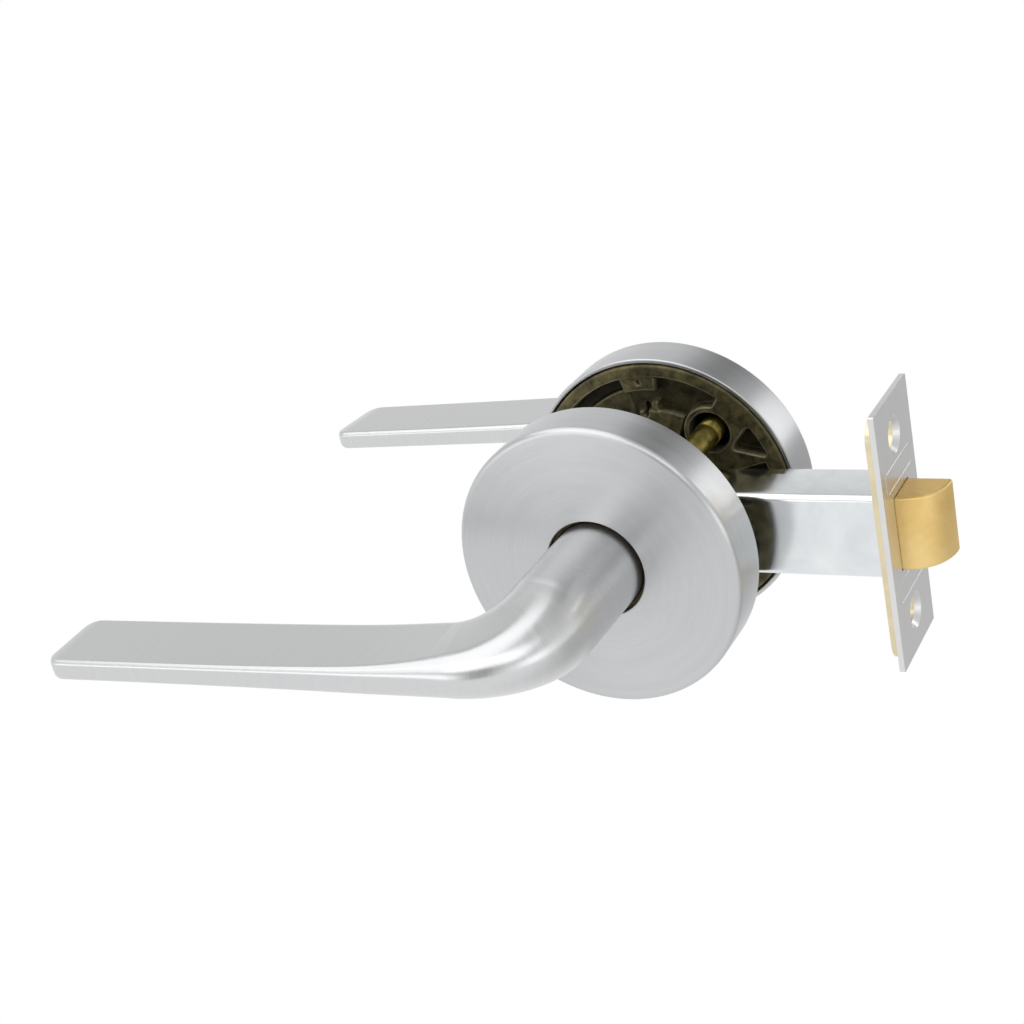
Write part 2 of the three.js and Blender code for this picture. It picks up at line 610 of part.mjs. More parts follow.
// A front plate: rounded corners, a given opening and two countersunk screw holes. The countersink
// goes from one radius at the plate's back to another at its front.
function frontPlate(size, from, to, opening, countersink) {
  const slab = roundedSlab(size.width, size.length, size.corner, from, to);
  const window = roundedSlab(opening.width, opening.length, opening.corner, from - 1, to + 1, 4);
  const sinks = [1, -1].map((side) => {
    const z = side * FACEPLATE_HOLE_SPACING / 2;
    return rodX(countersink[0], from - 0.001, to + 0.001, 0, z, countersink[1], 28);
  });
  return surface(without(slab, [window, ...sinks]));
}

// ---- Assembly -------------------------------------------------------------------------------

// The inside half is built as it stands; the outside half is the same parts turned over.
function roseSet(side, up) {
  const half = new THREE.Group();
  half.rotation.x = up > 0 ? 0 : Math.PI;
  group.add(half);
  place(`${side}_rose_cover`, 'satin_chrome', roseCover(), half);
  const plate = place(`${side}_base_plate`, 'chromate', basePlate(), half);
  plate.rotation.y = up > 0 ? 0 : 2 * POST_ANGLE;
  place(`${side}_rotor`, 'black_nylon', rotor(), half);
  place(`${side}_snap_ring`, 'bright_zinc', snapRing(), half);
  place(`${side}_thrust_washer`, 'steel', thrustWasher(), half);
  place(`${side}_neck_bush`, 'bronze', neckBush(), half);
  place(`${side}_return_spring`, 'spring_steel', returnSpring(), half);
  place(`${side}_lever`, 'satin_chrome', lever(up), half);
  place(`${side}_grub_screw`, 'steel', grubScrew(up), half);
}

roseSet('outside', -1);
roseSet('inside', 1);
place('spindle', 'bright_zinc', surface(squareBar(SPINDLE_WIDTH, -SPINDLE_LENGTH / 2, SPINDLE_LENGTH / 2)));

for (const [name, turn] of [['upper', 0], ['lower', Math.PI]]) {
  const x = POST_CIRCLE_RADIUS * Math.cos(POST_ANGLE + turn);
  const z = POST_CIRCLE_RADIUS * Math.sin(POST_ANGLE + turn);
  place(`${name}_fixing_post`, 'yellow_zinc', fixingPost(x, z));
  place(`${name}_fixing_screw`, 'bright_zinc', fixingScrew(x, z));
}

place('latch_case', 'bright_zinc', latchCase());
RIVET_HEIGHTS.forEach((z, index) => place(`case_rivet_${index + 1}`, 'bright_zinc', caseRivet(z)));
place('latch_hub', 'steel', latchHub());
place('drawbar', 'bright_zinc', drawbar());
place('latch_bolt', 'brass', latchBolt());
place('spring_stop', 'bright_zinc', springStop());
place('bolt_spring', 'spring_steel', boltSpring());

const backingSize = { width: FACEPLATE_WIDTH - 0.4, length: FACEPLATE_LENGTH - 3.4, corner: 4.5 };
const caseWindow = { width: CASE_WIDTH + 0.1, length: CASE_HEIGHT + 0.1, corner: CASE_CORNER };
place('backing_plate', 'yellow_zinc', frontPlate(
  backingSize, CASE_FRONT, CASE_NOSE, caseWindow, BACKING_SINK));

const faceSize = { width: FACEPLATE_WIDTH, length: FACEPLATE_LENGTH, corner: 0.4 };
const boltWindow = { width: BOLT_WIDTH + 0.4, length: BOLT_HEIGHT + 0.4, corner: 0.3 };
place('faceplate', 'satin_chrome', frontPlate(
  faceSize, CASE_NOSE, BACKSET, boltWindow, FACEPLATE_SINK));

export default group;
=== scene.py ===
# %% [markdown]
# # A lever handle lockset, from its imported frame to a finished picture
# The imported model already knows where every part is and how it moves. This lesson only gives the
# parts their fine surfaces and their finishes. The frame is loaded first, and the box of the plain
# model is kept, so the finished one can be measured against it at the end.

# %% Load the frame
import bmesh
import bpy
import numpy as np
from mathutils import Matrix, Vector


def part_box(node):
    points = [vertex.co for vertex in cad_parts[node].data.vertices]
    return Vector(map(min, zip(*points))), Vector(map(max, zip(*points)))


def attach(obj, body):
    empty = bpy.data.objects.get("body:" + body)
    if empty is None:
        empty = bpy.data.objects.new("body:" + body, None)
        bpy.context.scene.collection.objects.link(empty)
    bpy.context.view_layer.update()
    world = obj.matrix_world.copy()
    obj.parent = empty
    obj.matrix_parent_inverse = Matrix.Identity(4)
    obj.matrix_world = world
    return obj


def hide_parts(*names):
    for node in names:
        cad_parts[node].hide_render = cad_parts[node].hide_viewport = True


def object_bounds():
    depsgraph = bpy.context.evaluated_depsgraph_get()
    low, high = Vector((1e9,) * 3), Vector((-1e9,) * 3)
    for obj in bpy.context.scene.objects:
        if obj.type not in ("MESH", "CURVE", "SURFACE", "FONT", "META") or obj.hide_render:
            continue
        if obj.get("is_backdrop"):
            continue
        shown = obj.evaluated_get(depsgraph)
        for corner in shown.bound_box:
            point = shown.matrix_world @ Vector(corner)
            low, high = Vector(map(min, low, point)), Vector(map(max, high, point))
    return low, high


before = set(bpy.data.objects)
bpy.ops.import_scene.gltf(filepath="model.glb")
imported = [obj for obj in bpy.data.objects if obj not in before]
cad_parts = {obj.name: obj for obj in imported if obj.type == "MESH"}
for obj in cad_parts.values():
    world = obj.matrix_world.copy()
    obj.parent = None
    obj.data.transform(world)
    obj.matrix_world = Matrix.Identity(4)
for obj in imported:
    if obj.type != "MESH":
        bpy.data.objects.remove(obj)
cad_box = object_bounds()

MM = 0.001

# %% [markdown]
# ## Camera
# A small metal thing is looked at from close by, with a fairly long lens, from above and to one side.
# The camera is placed by a point to look at, a distance, two angles and a roll.

# %% Camera
def look_from(target, distance, azimuth, elevation, roll):
    """A camera pose: `distance` from the target, turned by `azimuth` from the -Y side, raised by
    `elevation`, and then rolled about its own line of sight."""
    az, el = np.radians([azimuth, elevation])
    back = Vector((np.sin(az) * np.cos(el), -np.cos(az) * np.cos(el), np.sin(el)))
    right = Vector((np.cos(az), np.sin(az), 0))
    up = back.cross(right)
    pose = Matrix((right, up, back)).transposed().to_4x4()
    pose.translation = Vector(target) + back * distance
    return pose @ Matrix.Rotation(np.radians(roll), 4, "Z")

lens = bpy.data.cameras.new("camera")
lens.lens = 61.4
lens.shift_x = -0.0384
lens.shift_y = -0.0158
camera = bpy.data.objects.new("camera", lens)
camera.matrix_world = look_from(
    (-23.2 * MM, 2.9 * MM, 3.5 * MM), 400 * MM, azimuth=30.44, elevation=22.91, roll=-11.85)
bpy.context.scene.collection.objects.link(camera)
bpy.context.scene.camera = camera
bpy.context.scene.view_settings.view_transform = "Standard"
print("camera at", [round(v, 4) for v in camera.matrix_world.translation])

# %% [markdown]
# ## Helpers for surfaces
# Almost every piece here is a grid of points closed on itself: a profile turned about an axis, or a
# section carried along a path. One helper makes the quads of such a grid, one makes the mesh, hangs it
# on its body and hides the frame's parts it replaces. A closed mesh that came out inside out has a
# negative volume, so its faces are turned over.

# %% Mesh helpers
def grid_quads(rows, columns, wrap_rows=False):
    """Quads of a rows x columns grid of points. The columns are joined end to start, and the rows where
    they wrap too."""
    index = np.arange(rows * columns).reshape(rows, columns)
    if wrap_rows:
        index = np.vstack([index, index[:1]])
    index = np.hstack([index, index[:, :1]])
    corners = (index[:-1, :-1], index[:-1, 1:], index[1:, 1:], index[1:, :-1])
    return np.stack([corner.ravel() for corner in corners], axis=1)


def signed_volume(points, quads):
    """Sum of the volumes of tetrahedra from the origin to both halves of each quad."""
    a, b, c, d = (points[quads[:, i]] for i in range(4))
    halves = np.einsum("ij,ij->i", a, np.cross(b, c)) + np.einsum("ij,ij->i", a, np.cross(c, d))
    return halves.sum() / 6


def make_piece(name, points, quads, caps, material, body, replaces=(), sharp=35, uv=None):
    """A mesh object from points in millimetres, quads, and caps given as rings of point numbers."""
    points = np.asarray(points, float)
    rings = [list(map(int, ring)) for ring in caps]
    quads = np.asarray(quads)
    if signed_volume(points, quads) < 0:
        quads = quads[:, ::-1]
    mesh = bpy.data.meshes.new(name)
    mesh.from_pydata((points * MM).tolist(), [], quads.tolist() + rings)
    if uv is not None:
        layer = mesh.uv_layers.new(name="along")
        corner_points = np.zeros(len(mesh.loops), dtype=np.int32)
        mesh.loops.foreach_get("vertex_index", corner_points)
        layer.data.foreach_set("uv", uv[corner_points].astype(np.float32).ravel())
    mesh.validate()
    if rings:
        tidy_mesh(mesh)
    mesh.shade_smooth()
    mesh.set_sharp_from_angle(angle=np.radians(sharp))
    mesh.materials.append(material)
    piece = bpy.data.objects.new(name, mesh)
    bpy.context.scene.collection.objects.link(piece)
    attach(piece, body)
    if replaces:
        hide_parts(*replaces)
    print(f"{name}: {len(mesh.polygons)} faces")
    return piece


def tidy_mesh(mesh, near=1e-6, flat=None):
    """Merges doubled points, melts seams that turn by less than `flat`, and turns all faces outwards."""
    work = bmesh.new()
    work.from_mesh(mesh)
    bmesh.ops.remove_doubles(work, verts=work.verts, dist=near)
    if flat:
        bmesh.ops.dissolve_limit(work, angle_limit=flat, verts=work.verts, edges=work.edges)
    bmesh.ops.recalc_face_normals(work, faces=work.faces)
    work.to_mesh(mesh)
    work.free()


def rounded(corners, steps=6):
    """A closed profile from (radius, depth, fillet) corners: each fillet is an arc that touches both
    neighbouring sides."""
    corners = np.array(corners, float)
    out = []
    for before, here, after in zip(np.roll(corners, 1, 0), corners, np.roll(corners, -1, 0)):
        point, fillet = here[:2], here[2]
        if fillet == 0:
            out.append(point[None])
            continue
        to_before = (before[:2] - point) / np.linalg.norm(before[:2] - point)
        to_after = (after[:2] - point) / np.linalg.norm(after[:2] - point)
        half = np.arccos(np.clip(to_before @ to_after, -1, 1)) / 2
        reach = fillet / np.tan(half)
        bisector = (to_before + to_after) / np.linalg.norm(to_before + to_after)
        centre = point + bisector * fillet / np.sin(half)
        start = point + to_before * reach - centre
        end = point + to_after * reach - centre
        sweep = np.linspace(0, 1, steps + 1)[:, None]
        opening = np.pi - 2 * half
        arc = (np.sin((1 - sweep) * opening) * start + np.sin(sweep * opening) * end) / np.sin(opening)
        out.append(centre + arc)
    return np.vstack(out)


def turned(profile, segments, side=1, centre=(0, 0)):
    """A closed profile of (radius, depth) turned about an axis along Y through `centre`."""
    angle = np.linspace(0, 2 * np.pi, segments, endpoint=False)
    radius, depth = profile[:, :1], profile[:, 1:]
    across = radius * np.cos(angle) + centre[0]
    up = radius * np.sin(angle) + centre[1]
    along = np.broadcast_to(side * depth, across.shape)
    points = np.stack([across, along, up], axis=-1)
    return points.reshape(-1, 3), grid_quads(len(profile), segments, wrap_rows=True)


def smooth_step(low, high, value):
    """0 below low, 1 above high, and a smooth cubic between."""
    t = np.clip((value - low) / (high - low), 0, 1)
    return t * t * (3 - 2 * t)


def blended(first, second, share):
    """`first` where the share is 0, `second` where it is 1."""
    return first * (1 - share) + second * share


SIDES = {"outside": -1, "inside": 1}

# %% [markdown]
# ## Effects that several finishes share
# Satin plating shows fine lines that the belt or the lathe left. They are a noise stretched along one
# direction, so one node group serves the turned roses, the brushed levers and the faceplate: each
# material hands it a vector whose first part runs across the lines. A second group gives the slow
# blotches of a passivated casting or a plated sheet.

# %% Node helpers
def node(tree, kind, inputs=None, **settings):
    """Adds a node, sets its properties and its input values."""
    made = tree.nodes.new(kind)
    for key, value in settings.items():
        setattr(made, key, value)
    for key, value in (inputs or {}).items():
        made.inputs[key].default_value = value
    return made


def link(tree, source, target):
    tree.links.new(source, target)


def math_node(tree, operation, *values):
    """A math node whose inputs are numbers or sockets; returns its output."""
    made = node(tree, "ShaderNodeMath", operation=operation)
    for place, value in enumerate(values):
        if isinstance(value, (int, float)):
            made.inputs[place].default_value = value
        else:
            link(tree, value, made.inputs[place])
    return made.outputs[0]


def new_group(name, inputs, outputs):
    """An empty shader group with float or vector sockets and its two end nodes."""
    tree = bpy.data.node_groups.new(name, "ShaderNodeTree")
    for label, kind, value in inputs:
        socket = tree.interface.new_socket(label, in_out="INPUT", socket_type=kind)
        if value is not None:
            socket.default_value = value
    for label, kind in outputs:
        tree.interface.new_socket(label, in_out="OUTPUT", socket_type=kind)
    return tree, tree.nodes.new("NodeGroupInput"), tree.nodes.new("NodeGroupOutput")


def brushing_group():
    """Lines across X of the given vector: fine and coarse noises, stretched along Y and Z."""
    tree, enter, leave = new_group(
        "brushed lines",
        [("Vector", "NodeSocketVector", None), ("Lines per metre", "NodeSocketFloat", 9000.0),
         ("Length ratio", "NodeSocketFloat", 0.02), ("Base roughness", "NodeSocketFloat", 0.3),
         ("Roughness spread", "NodeSocketFloat", 0.12), ("Depth", "NodeSocketFloat", 0.4)],
        [("Lines", "NodeSocketFloat"), ("Roughness", "NodeSocketFloat"), ("Normal", "NodeSocketVector")])
    stretch = node(tree, "ShaderNodeCombineXYZ", {0: 1.0})
    link(tree, enter.outputs["Length ratio"], stretch.inputs[1])
    link(tree, enter.outputs["Length ratio"], stretch.inputs[2])
    narrowed = node(tree, "ShaderNodeVectorMath", operation="MULTIPLY")
    link(tree, enter.outputs["Vector"], narrowed.inputs[0])
    link(tree, stretch.outputs[0], narrowed.inputs[1])
    fine = node(tree, "ShaderNodeTexNoise", {"Detail": 3.0, "Roughness": 0.7})
    coarse = node(tree, "ShaderNodeTexNoise", {"Detail": 2.0, "Roughness": 0.5})
    for noise, share in ((fine, 1.0), (coarse, 0.12)):
        link(tree, narrowed.outputs[0], noise.inputs["Vector"])
        scale = math_node(tree, "MULTIPLY", enter.outputs["Lines per metre"], share)
        link(tree, scale, noise.inputs["Scale"])
    both = math_node(tree, "ADD", math_node(tree, "MULTIPLY", fine.outputs[0], 0.65),
                     math_node(tree, "MULTIPLY", coarse.outputs[0], 0.35))
    link(tree, both, leave.inputs["Lines"])
    centred = math_node(tree, "SUBTRACT", both, 0.5)
    rough = math_node(tree, "MULTIPLY_ADD", centred, enter.outputs["Roughness spread"],
                      enter.outputs["Base roughness"])
    link(tree, rough, leave.inputs["Roughness"])
    bump = node(tree, "ShaderNodeBump", {"Distance": 0.00002})
    link(tree, enter.outputs["Depth"], bump.inputs["Strength"])
    link(tree, both, bump.inputs["Height"])
    link(tree, bump.outputs[0], leave.inputs["Normal"])
    return tree


def blotch_group():
    """Slow patches and fine grain of a plated or cast surface, as a 0-1 mask and a normal."""
    tree, enter, leave = new_group(
        "patches and grain",
        [("Vector", "NodeSocketVector", None), ("Patches per metre", "NodeSocketFloat", 120.0),
         ("Grain per metre", "NodeSocketFloat", 2500.0), ("Grain depth", "NodeSocketFloat", 0.3)],
        [("Patches", "NodeSocketFloat"), ("Grain", "NodeSocketFloat"), ("Normal", "NodeSocketVector")])
    patches = node(tree, "ShaderNodeTexNoise", {"Detail": 4.0, "Roughness": 0.6, "Distortion": 0.4})
    grain = node(tree, "ShaderNodeTexNoise", {"Detail": 4.0, "Roughness": 0.65})
    for noise, label in ((patches, "Patches per metre"), (grain, "Grain per metre")):
        link(tree, enter.outputs["Vector"], noise.inputs["Vector"])
        link(tree, enter.outputs[label], noise.inputs["Scale"])
    spread = node(tree, "ShaderNodeMapRange", {"From Min": 0.32, "From Max": 0.68})
    link(tree, patches.outputs[0], spread.inputs["Value"])
    link(tree, spread.outputs[0], leave.inputs["Patches"])
    link(tree, grain.outputs[0], leave.inputs["Grain"])
    bump = node(tree, "ShaderNodeBump", {"Distance": 0.00005})
    link(tree, enter.outputs["Grain depth"], bump.inputs["Strength"])
    link(tree, grain.outputs[0], bump.inputs["Height"])
    link(tree, bump.outputs[0], leave.inputs["Normal"])
    return tree


BRUSHING = brushing_group()
BLOTCHES = blotch_group()


def new_material(name, base, metallic=1.0, **constants):
    """A Principled material with its constant sockets set on the shader itself."""
    material = bpy.data.materials.new(name)
    material.use_nodes = True
    tree = material.node_tree
    shader = tree.nodes["Principled BSDF"]
    shader.inputs["Base Color"].default_value = (*base, 1)
    shader.inputs["Metallic"].default_value = metallic
    for key, value in constants.items():
        shader.inputs[key.replace("_", " ").title()].default_value = value
    material.diffuse_color = (*base, 1)
    return material, tree, shader


def use_group(tree, group, vector, **values):
    """Places a group and feeds it a vector and its own values."""
    made = node(tree, "ShaderNodeGroup", node_tree=group)
    link(tree, vector, made.inputs["Vector"])
    for key, value in values.items():
        made.inputs[key.replace("_", " ").capitalize()].default_value = value
    return made


def two_tone(tree, factor, dark, light, shader):
    """Base colour that goes from one tone to another with a mask."""
    mix = node(tree, "ShaderNodeMix", data_type="RGBA")
    mix.inputs["A"].default_value = (*dark, 1)
    mix.inputs["B"].default_value = (*light, 1)
    link(tree, factor, mix.inputs["Factor"])
    link(tree, mix.outputs["Result"], shader.inputs["Base Color"])
    return mix


def object_place(tree):
    return node(tree, "ShaderNodeTexCoord").outputs["Object"]


def brush_on(tree, shader, vector, dark, light, **values):
    """Brushed lines give a shader its colour, roughness and normal."""
    brushed = use_group(tree, BRUSHING, vector, **values)
    two_tone(tree, brushed.outputs["Lines"], dark, light, shader)
    for socket in ("Roughness", "Normal"):
        link(tree, brushed.outputs[socket], shader.inputs[socket])


def blotch_on(tree, shader, dark, light, roughness, spread, **values):
    """Blotches give a shader its colour, roughness and normal; returns the group and the colour."""
    marks = use_group(tree, BLOTCHES, object_place(tree), **values)
    tone = two_tone(tree, marks.outputs["Patches"], dark, light, shader)
    rough = math_node(tree, "MULTIPLY_ADD", marks.outputs["Grain"], spread, roughness)
    link(tree, rough, shader.inputs["Roughness"])
    link(tree, marks.outputs["Normal"], shader.inputs["Normal"])
    return marks, tone

# %% [markdown]
# ## Satin chrome
# The roses are turned on a lathe, so their lines run in circles about the spindle: the vector's first
# part is the distance from the axis and the second the angle. The highlight of such lines stretches
# across them, which an anisotropic shader shows, with its tangent running round the axis. The levers
# are brushed round their section, and their own UV map says which way that is.

# %% Chrome materials
def round_vector(tree, step=0.01):
    """(distance from the Y axis, angle, depth): X changes across circular lines."""
    where = object_place(tree)
    parts = node(tree, "ShaderNodeSeparateXYZ")
    link(tree, where, parts.inputs[0])
    x, y, z = parts.outputs
    squares = math_node(tree, "ADD", math_node(tree, "MULTIPLY", x, x), math_node(tree, "MULTIPLY", z, z))
    radius = math_node(tree, "SQRT", squares)
    turn = math_node(tree, "ARCTAN2", z, x)
    out = node(tree, "ShaderNodeCombineXYZ")
    link(tree, math_node(tree, "ADD", radius, y), out.inputs[0])
    link(tree, math_node(tree, "MULTIPLY", turn, step), out.inputs[1])
    return where, out.outputs[0]


def round_tangent(tree, where, shader):
    """Tangent round the Y axis: the axis crossed with the place."""
    cross = node(tree, "ShaderNodeVectorMath", operation="CROSS_PRODUCT")
    cross.inputs[0].default_value = (0, 1, 0)
    link(tree, where, cross.inputs[1])
    link(tree, cross.outputs[0], shader.inputs["Tangent"])


def satin_rose():
    material, tree, shader = new_material("satin chrome, turned", (0.62, 0.625, 0.63), anisotropic=0.75)
    shader.inputs["Anisotropic Rotation"].default_value = 0.25
    where, lines = round_vector(tree)
    brush_on(tree, shader, lines, (0.48, 0.49, 0.50), (0.70, 0.705, 0.71), lines_per_metre=4200.0,
             length_ratio=0.07, base_roughness=0.34, roughness_spread=0.3, depth=0.6)
    round_tangent(tree, where, shader)
    return material


def satin_lever():
    material, tree, shader = new_material("satin chrome, brushed", (0.64, 0.64, 0.645), anisotropic=0.6)
    along = node(tree, "ShaderNodeUVMap", uv_map="along")
    brush_on(tree, shader, along.outputs[0], (0.59, 0.595, 0.60), (0.74, 0.745, 0.75),
             lines_per_metre=5200.0, length_ratio=0.012, base_roughness=0.30, roughness_spread=0.2,
             depth=0.06)
    along_lever = node(tree, "ShaderNodeTangent", direction_type="UV_MAP", uv_map="along")
    link(tree, along_lever.outputs[0], shader.inputs["Tangent"])
    return material


def faceplate_vector(tree):
    """Object coordinates with their axes in the order Y, Z, X: lines run across Y."""
    parts = node(tree, "ShaderNodeSeparateXYZ")
    out = node(tree, "ShaderNodeCombineXYZ")
    link(tree, object_place(tree), parts.inputs[0])
    for place, source in enumerate((1, 2, 0)):
        link(tree, parts.outputs[source], out.inputs[place])
    return out.outputs[0]


def satin_faceplate():
    material, tree, shader = new_material("satin steel", (0.68, 0.68, 0.68))
    brush_on(tree, shader, faceplate_vector(tree), (0.68, 0.68, 0.68), (0.80, 0.80, 0.795),
             lines_per_metre=4200.0, length_ratio=0.05, base_roughness=0.36, roughness_spread=0.12,
             depth=0.22)
    return material


ROSE_CHROME = satin_rose()
LEVER_CHROME = satin_lever()
FACE_STEEL = satin_faceplate()
print("chrome materials ready")

# %% [markdown]
# ## Plated, cast and plain metals
# Zinc plate is bright and slightly blotchy, and a yellow chromate on it wanders from straw to green.
# The die casting has an olive chromate that is rubbed lighter on its high edges, and its pockets and
# sunken floors get a painted shade: near black mixed in by depth, for the shadow there. The casting's
# mesh carries both as attributes. Cast brass has the fine skin that blasting leaves.

# %% Other metals
def plated(name, dark, light, roughness, grain=0.1, patches=90.0, spread=0.1):
    """Blotchy metal: colour and roughness wander together between two tones."""
    material, tree, shader = new_material(name, light)
    blotch_on(tree, shader, dark, light, roughness, spread, patches_per_metre=patches, grain_depth=grain)
    return material


def chromate_casting():
    material, tree, shader = new_material("olive chromate", (0.17, 0.15, 0.09), metallic=0.75)
    marks, tone = blotch_on(tree, shader, (0.034, 0.031, 0.014), (0.19, 0.162, 0.075), 0.38, 0.3,
                            patches_per_metre=330.0, grain_per_metre=1300.0, grain_depth=1.2)
    rubbed = node(tree, "ShaderNodeMix", data_type="RGBA")
    rubbed.inputs["B"].default_value = (0.34, 0.31, 0.22, 1)
    edges = node(tree, "ShaderNodeAttribute", attribute_name="rubbed")
    uneven = math_node(tree, "MULTIPLY", edges.outputs["Fac"], marks.outputs["Grain"])
    link(tree, uneven, rubbed.inputs["Factor"])
    # Painted shade: the door side is mixed towards near black the deeper it lies, for the shadow in its
    # pockets.
    painted_shade_mix = node(tree, "ShaderNodeMix", data_type="RGBA")
    painted_shade_mix.inputs["B"].default_value = (0.012, 0.011, 0.006, 1)
    painted_shade = node(tree, "ShaderNodeAttribute", attribute_name="painted_shade")
    link(tree, painted_shade.outputs["Fac"], painted_shade_mix.inputs["Factor"])
    link(tree, tone.outputs["Result"], painted_shade_mix.inputs["A"])
    link(tree, painted_shade_mix.outputs["Result"], rubbed.inputs["A"])
    link(tree, rubbed.outputs["Result"], shader.inputs["Base Color"])
    return material


CHROMATE = chromate_casting()
ZINC = plated("bright zinc", (0.72, 0.75, 0.77), (0.84, 0.87, 0.88), 0.13, grain=0.05)
YELLOW_ZINC = plated("yellow zinc", (0.08, 0.09, 0.02), (0.38, 0.29, 0.08), 0.24, patches=420.0)
PALE_YELLOW = plated("pale yellow zinc", (0.70, 0.62, 0.42), (0.82, 0.72, 0.50), 0.3, patches=160.0)
BRASS = plated("satin brass", (0.80, 0.55, 0.20), (0.92, 0.69, 0.30), 0.34, grain=0.9, spread=0.25)
BRONZE = plated("sintered bronze", (0.05, 0.04, 0.02), (0.11, 0.085, 0.045), 0.45, grain=0.5)
STEEL = plated("oiled steel", (0.2, 0.2, 0.21), (0.32, 0.32, 0.33), 0.35)
SPRING = plated("spring wire", (0.3, 0.31, 0.32), (0.45, 0.46, 0.47), 0.28)


def black_nylon():
    material, tree, shader = new_material("black nylon", (0.012, 0.012, 0.013), metallic=0.0)
    blotch_on(tree, shader, (0.009, 0.009, 0.010), (0.018, 0.018, 0.019), 0.42, 0.25,
              grain_per_metre=4000.0, grain_depth=0.35)
    return material


NYLON = black_nylon()
print("metals ready")

# %% [markdown]
# ## Rose covers
# Each cover is pressed from sheet and turned: a flat face, a small rolled edge that catches the light,
# a thin straight side and a hole for the lever's neck. One closed profile turned about the spindle's
# axis gives both its outside and its inside. Its size comes from the frame's box.

# %% Rose covers
cover_low, cover_high = (np.array(corner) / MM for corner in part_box("inside_rose_cover"))
SEAT = cover_low[1]
ROSE_FACE = cover_high[1]
ROSE_RADIUS = cover_high[0]
COVER_WALL = 1.0
NECK_HOLE = 11.2


def cover_profile():
    """Corners of the cup's wall as (radius, depth, fillet), closed round the sheet's thickness."""
    inner = ROSE_RADIUS - COVER_WALL
    return rounded([
        (inner, SEAT, 0.3), (ROSE_RADIUS, SEAT, 0.35), (ROSE_RADIUS, ROSE_FACE, 1.35),
        (NECK_HOLE, ROSE_FACE, 0.3), (NECK_HOLE, ROSE_FACE - COVER_WALL, 0.2),
        (inner, ROSE_FACE - COVER_WALL, 0.5)], steps=8)


for side, sign in SIDES.items():
    points, quads = turned(cover_profile(), 320, sign)
    make_piece(f"{side}_cover_turned", points, quads, [], ROSE_CHROME, "door_set",
               [f"{side}_rose_cover"], sharp=30)
print("rose radius", round(ROSE_RADIUS, 2), "mm, face at", round(ROSE_FACE, 2), "mm")

# %% [markdown]
# ## Levers
# A lever like this is forged from round bar: the neck stays round, and past the bend the bar is
# flattened into a thin blade that droops a little. So its skin is one section stretched between the
# inner and the outer side of the bend. The section is a rounded rectangle whose corners start as full
# arcs, which makes it a circle on the neck, and tighten into the blade's crisp edges.

# %% Lever sections
NECK_RADIUS = 10.2
LEVER_DEPTH = 62.2
BEND_RADIUS = 12.0
TIP_X = 116.4
BEND_START = LEVER_DEPTH - BEND_RADIUS
BLADE_START = BEND_START + BEND_RADIUS * np.pi / 2
BLADE_END = BLADE_START + TIP_X - BEND_RADIUS
NECK_START = 19.0
SCREW_DEPTH = 32.0
TIP_ROUND = 3.6
TIP_SLANT = 0.85
INSIDE_CORNER = 7.0
FILL = INSIDE_CORNER + NECK_RADIUS - BEND_RADIUS
BLADE_HALF_WIDTH = 9.7
BLADE_HALF_THICK = 2.45
BLADE_SWELL = 3.2
BLADE_CORNER = 1.15
BLADE_FALL = 0.0372
FLATTEN_FROM, FLATTEN_TO = 42, 72
THINNING_FROM = 66


def soft_ramp(value, width):
    """width x ln(1 + e^(value / width)): 0 well below 0, the value itself above, with no kink."""
    return width * np.log1p(np.exp(np.clip(value / width, -40, 40)))


def soft_step(low, high, value):
    """0 below low, 1 above high, and 6t^5 - 15t^4 + 10t^3 between, which starts and ends unbent."""
    t = np.clip((value - low) / (high - low), 0, 1)
    return t ** 3 * (t * (6 * t - 15) + 10)


def lever_measures(d):
    """Half width, half thickness, corner radius, droop and tilt of the section at distance d."""
    flatten = soft_step(FLATTEN_FROM, FLATTEN_TO, d)
    blade = BLADE_HALF_THICK + BLADE_SWELL * np.exp(-soft_ramp(d - THINNING_FROM, 4) / 17)
    half_width = NECK_RADIUS + (BLADE_HALF_WIDTH - NECK_RADIUS) * flatten
    half_thick = NECK_RADIUS * (1 - flatten) + blade * flatten
    full = np.minimum(half_width, half_thick)
    sharpening = np.exp(-(soft_ramp(d - THINNING_FROM, 3) / 25) ** 1.3)
    corner = BLADE_CORNER + (full - BLADE_CORNER) * sharpening
    droop = -BLADE_FALL * soft_ramp(d - 68.5, 4) - 0.95 * flatten - 0.45 * smooth_step(64, 94, d)
    tilt = 0.37 * smooth_step(46, 66, d) * (1 - smooth_step(66, 104, d))
    return half_width, half_thick, corner, droop, tilt


def section_ring(half_width, half_thick, corner, per_quarter=40):
    """Rings of a rounded rectangle. A quarter runs up half a side, round a corner and along half of the
    next side; points are even along that length, with the corner's share raised as it tightens."""
    u = np.arange(4 * per_quarter) / per_quarter
    quarter, part = np.floor(u).astype(int), u % 1
    part = np.where(quarter % 2 == 0, part, 1 - part)
    flat_w, flat_t = half_width - corner, half_thick - corner
    arc = np.pi / 2 * corner + 6 * (1 - corner / half_thick)
    run = part * (flat_w + flat_t + arc)
    angle = np.clip((run - flat_t) / arc, 0, 1) * np.pi / 2
    across = flat_w + corner * np.cos(angle) - np.clip(run - flat_t - arc, 0, None)
    height = np.minimum(run, flat_t) + corner * np.sin(angle)
    return across * np.array([1, -1, -1, 1])[quarter], height * np.array([1, 1, -1, -1])[quarter]


def plan_side(d, start, end, centre, radius):
    """One side of the plan, as (x, depth): straight up to `start`, a quarter turn of `radius` that
    lasts until `end`, then straight along the blade."""
    turn = np.clip((d - start) / (end - start), 0, 1) * np.pi / 2
    x = radius * np.cos(turn) - centre - np.clip(d - end, 0, None)
    return x, np.minimum(d, start) + radius * np.sin(turn)


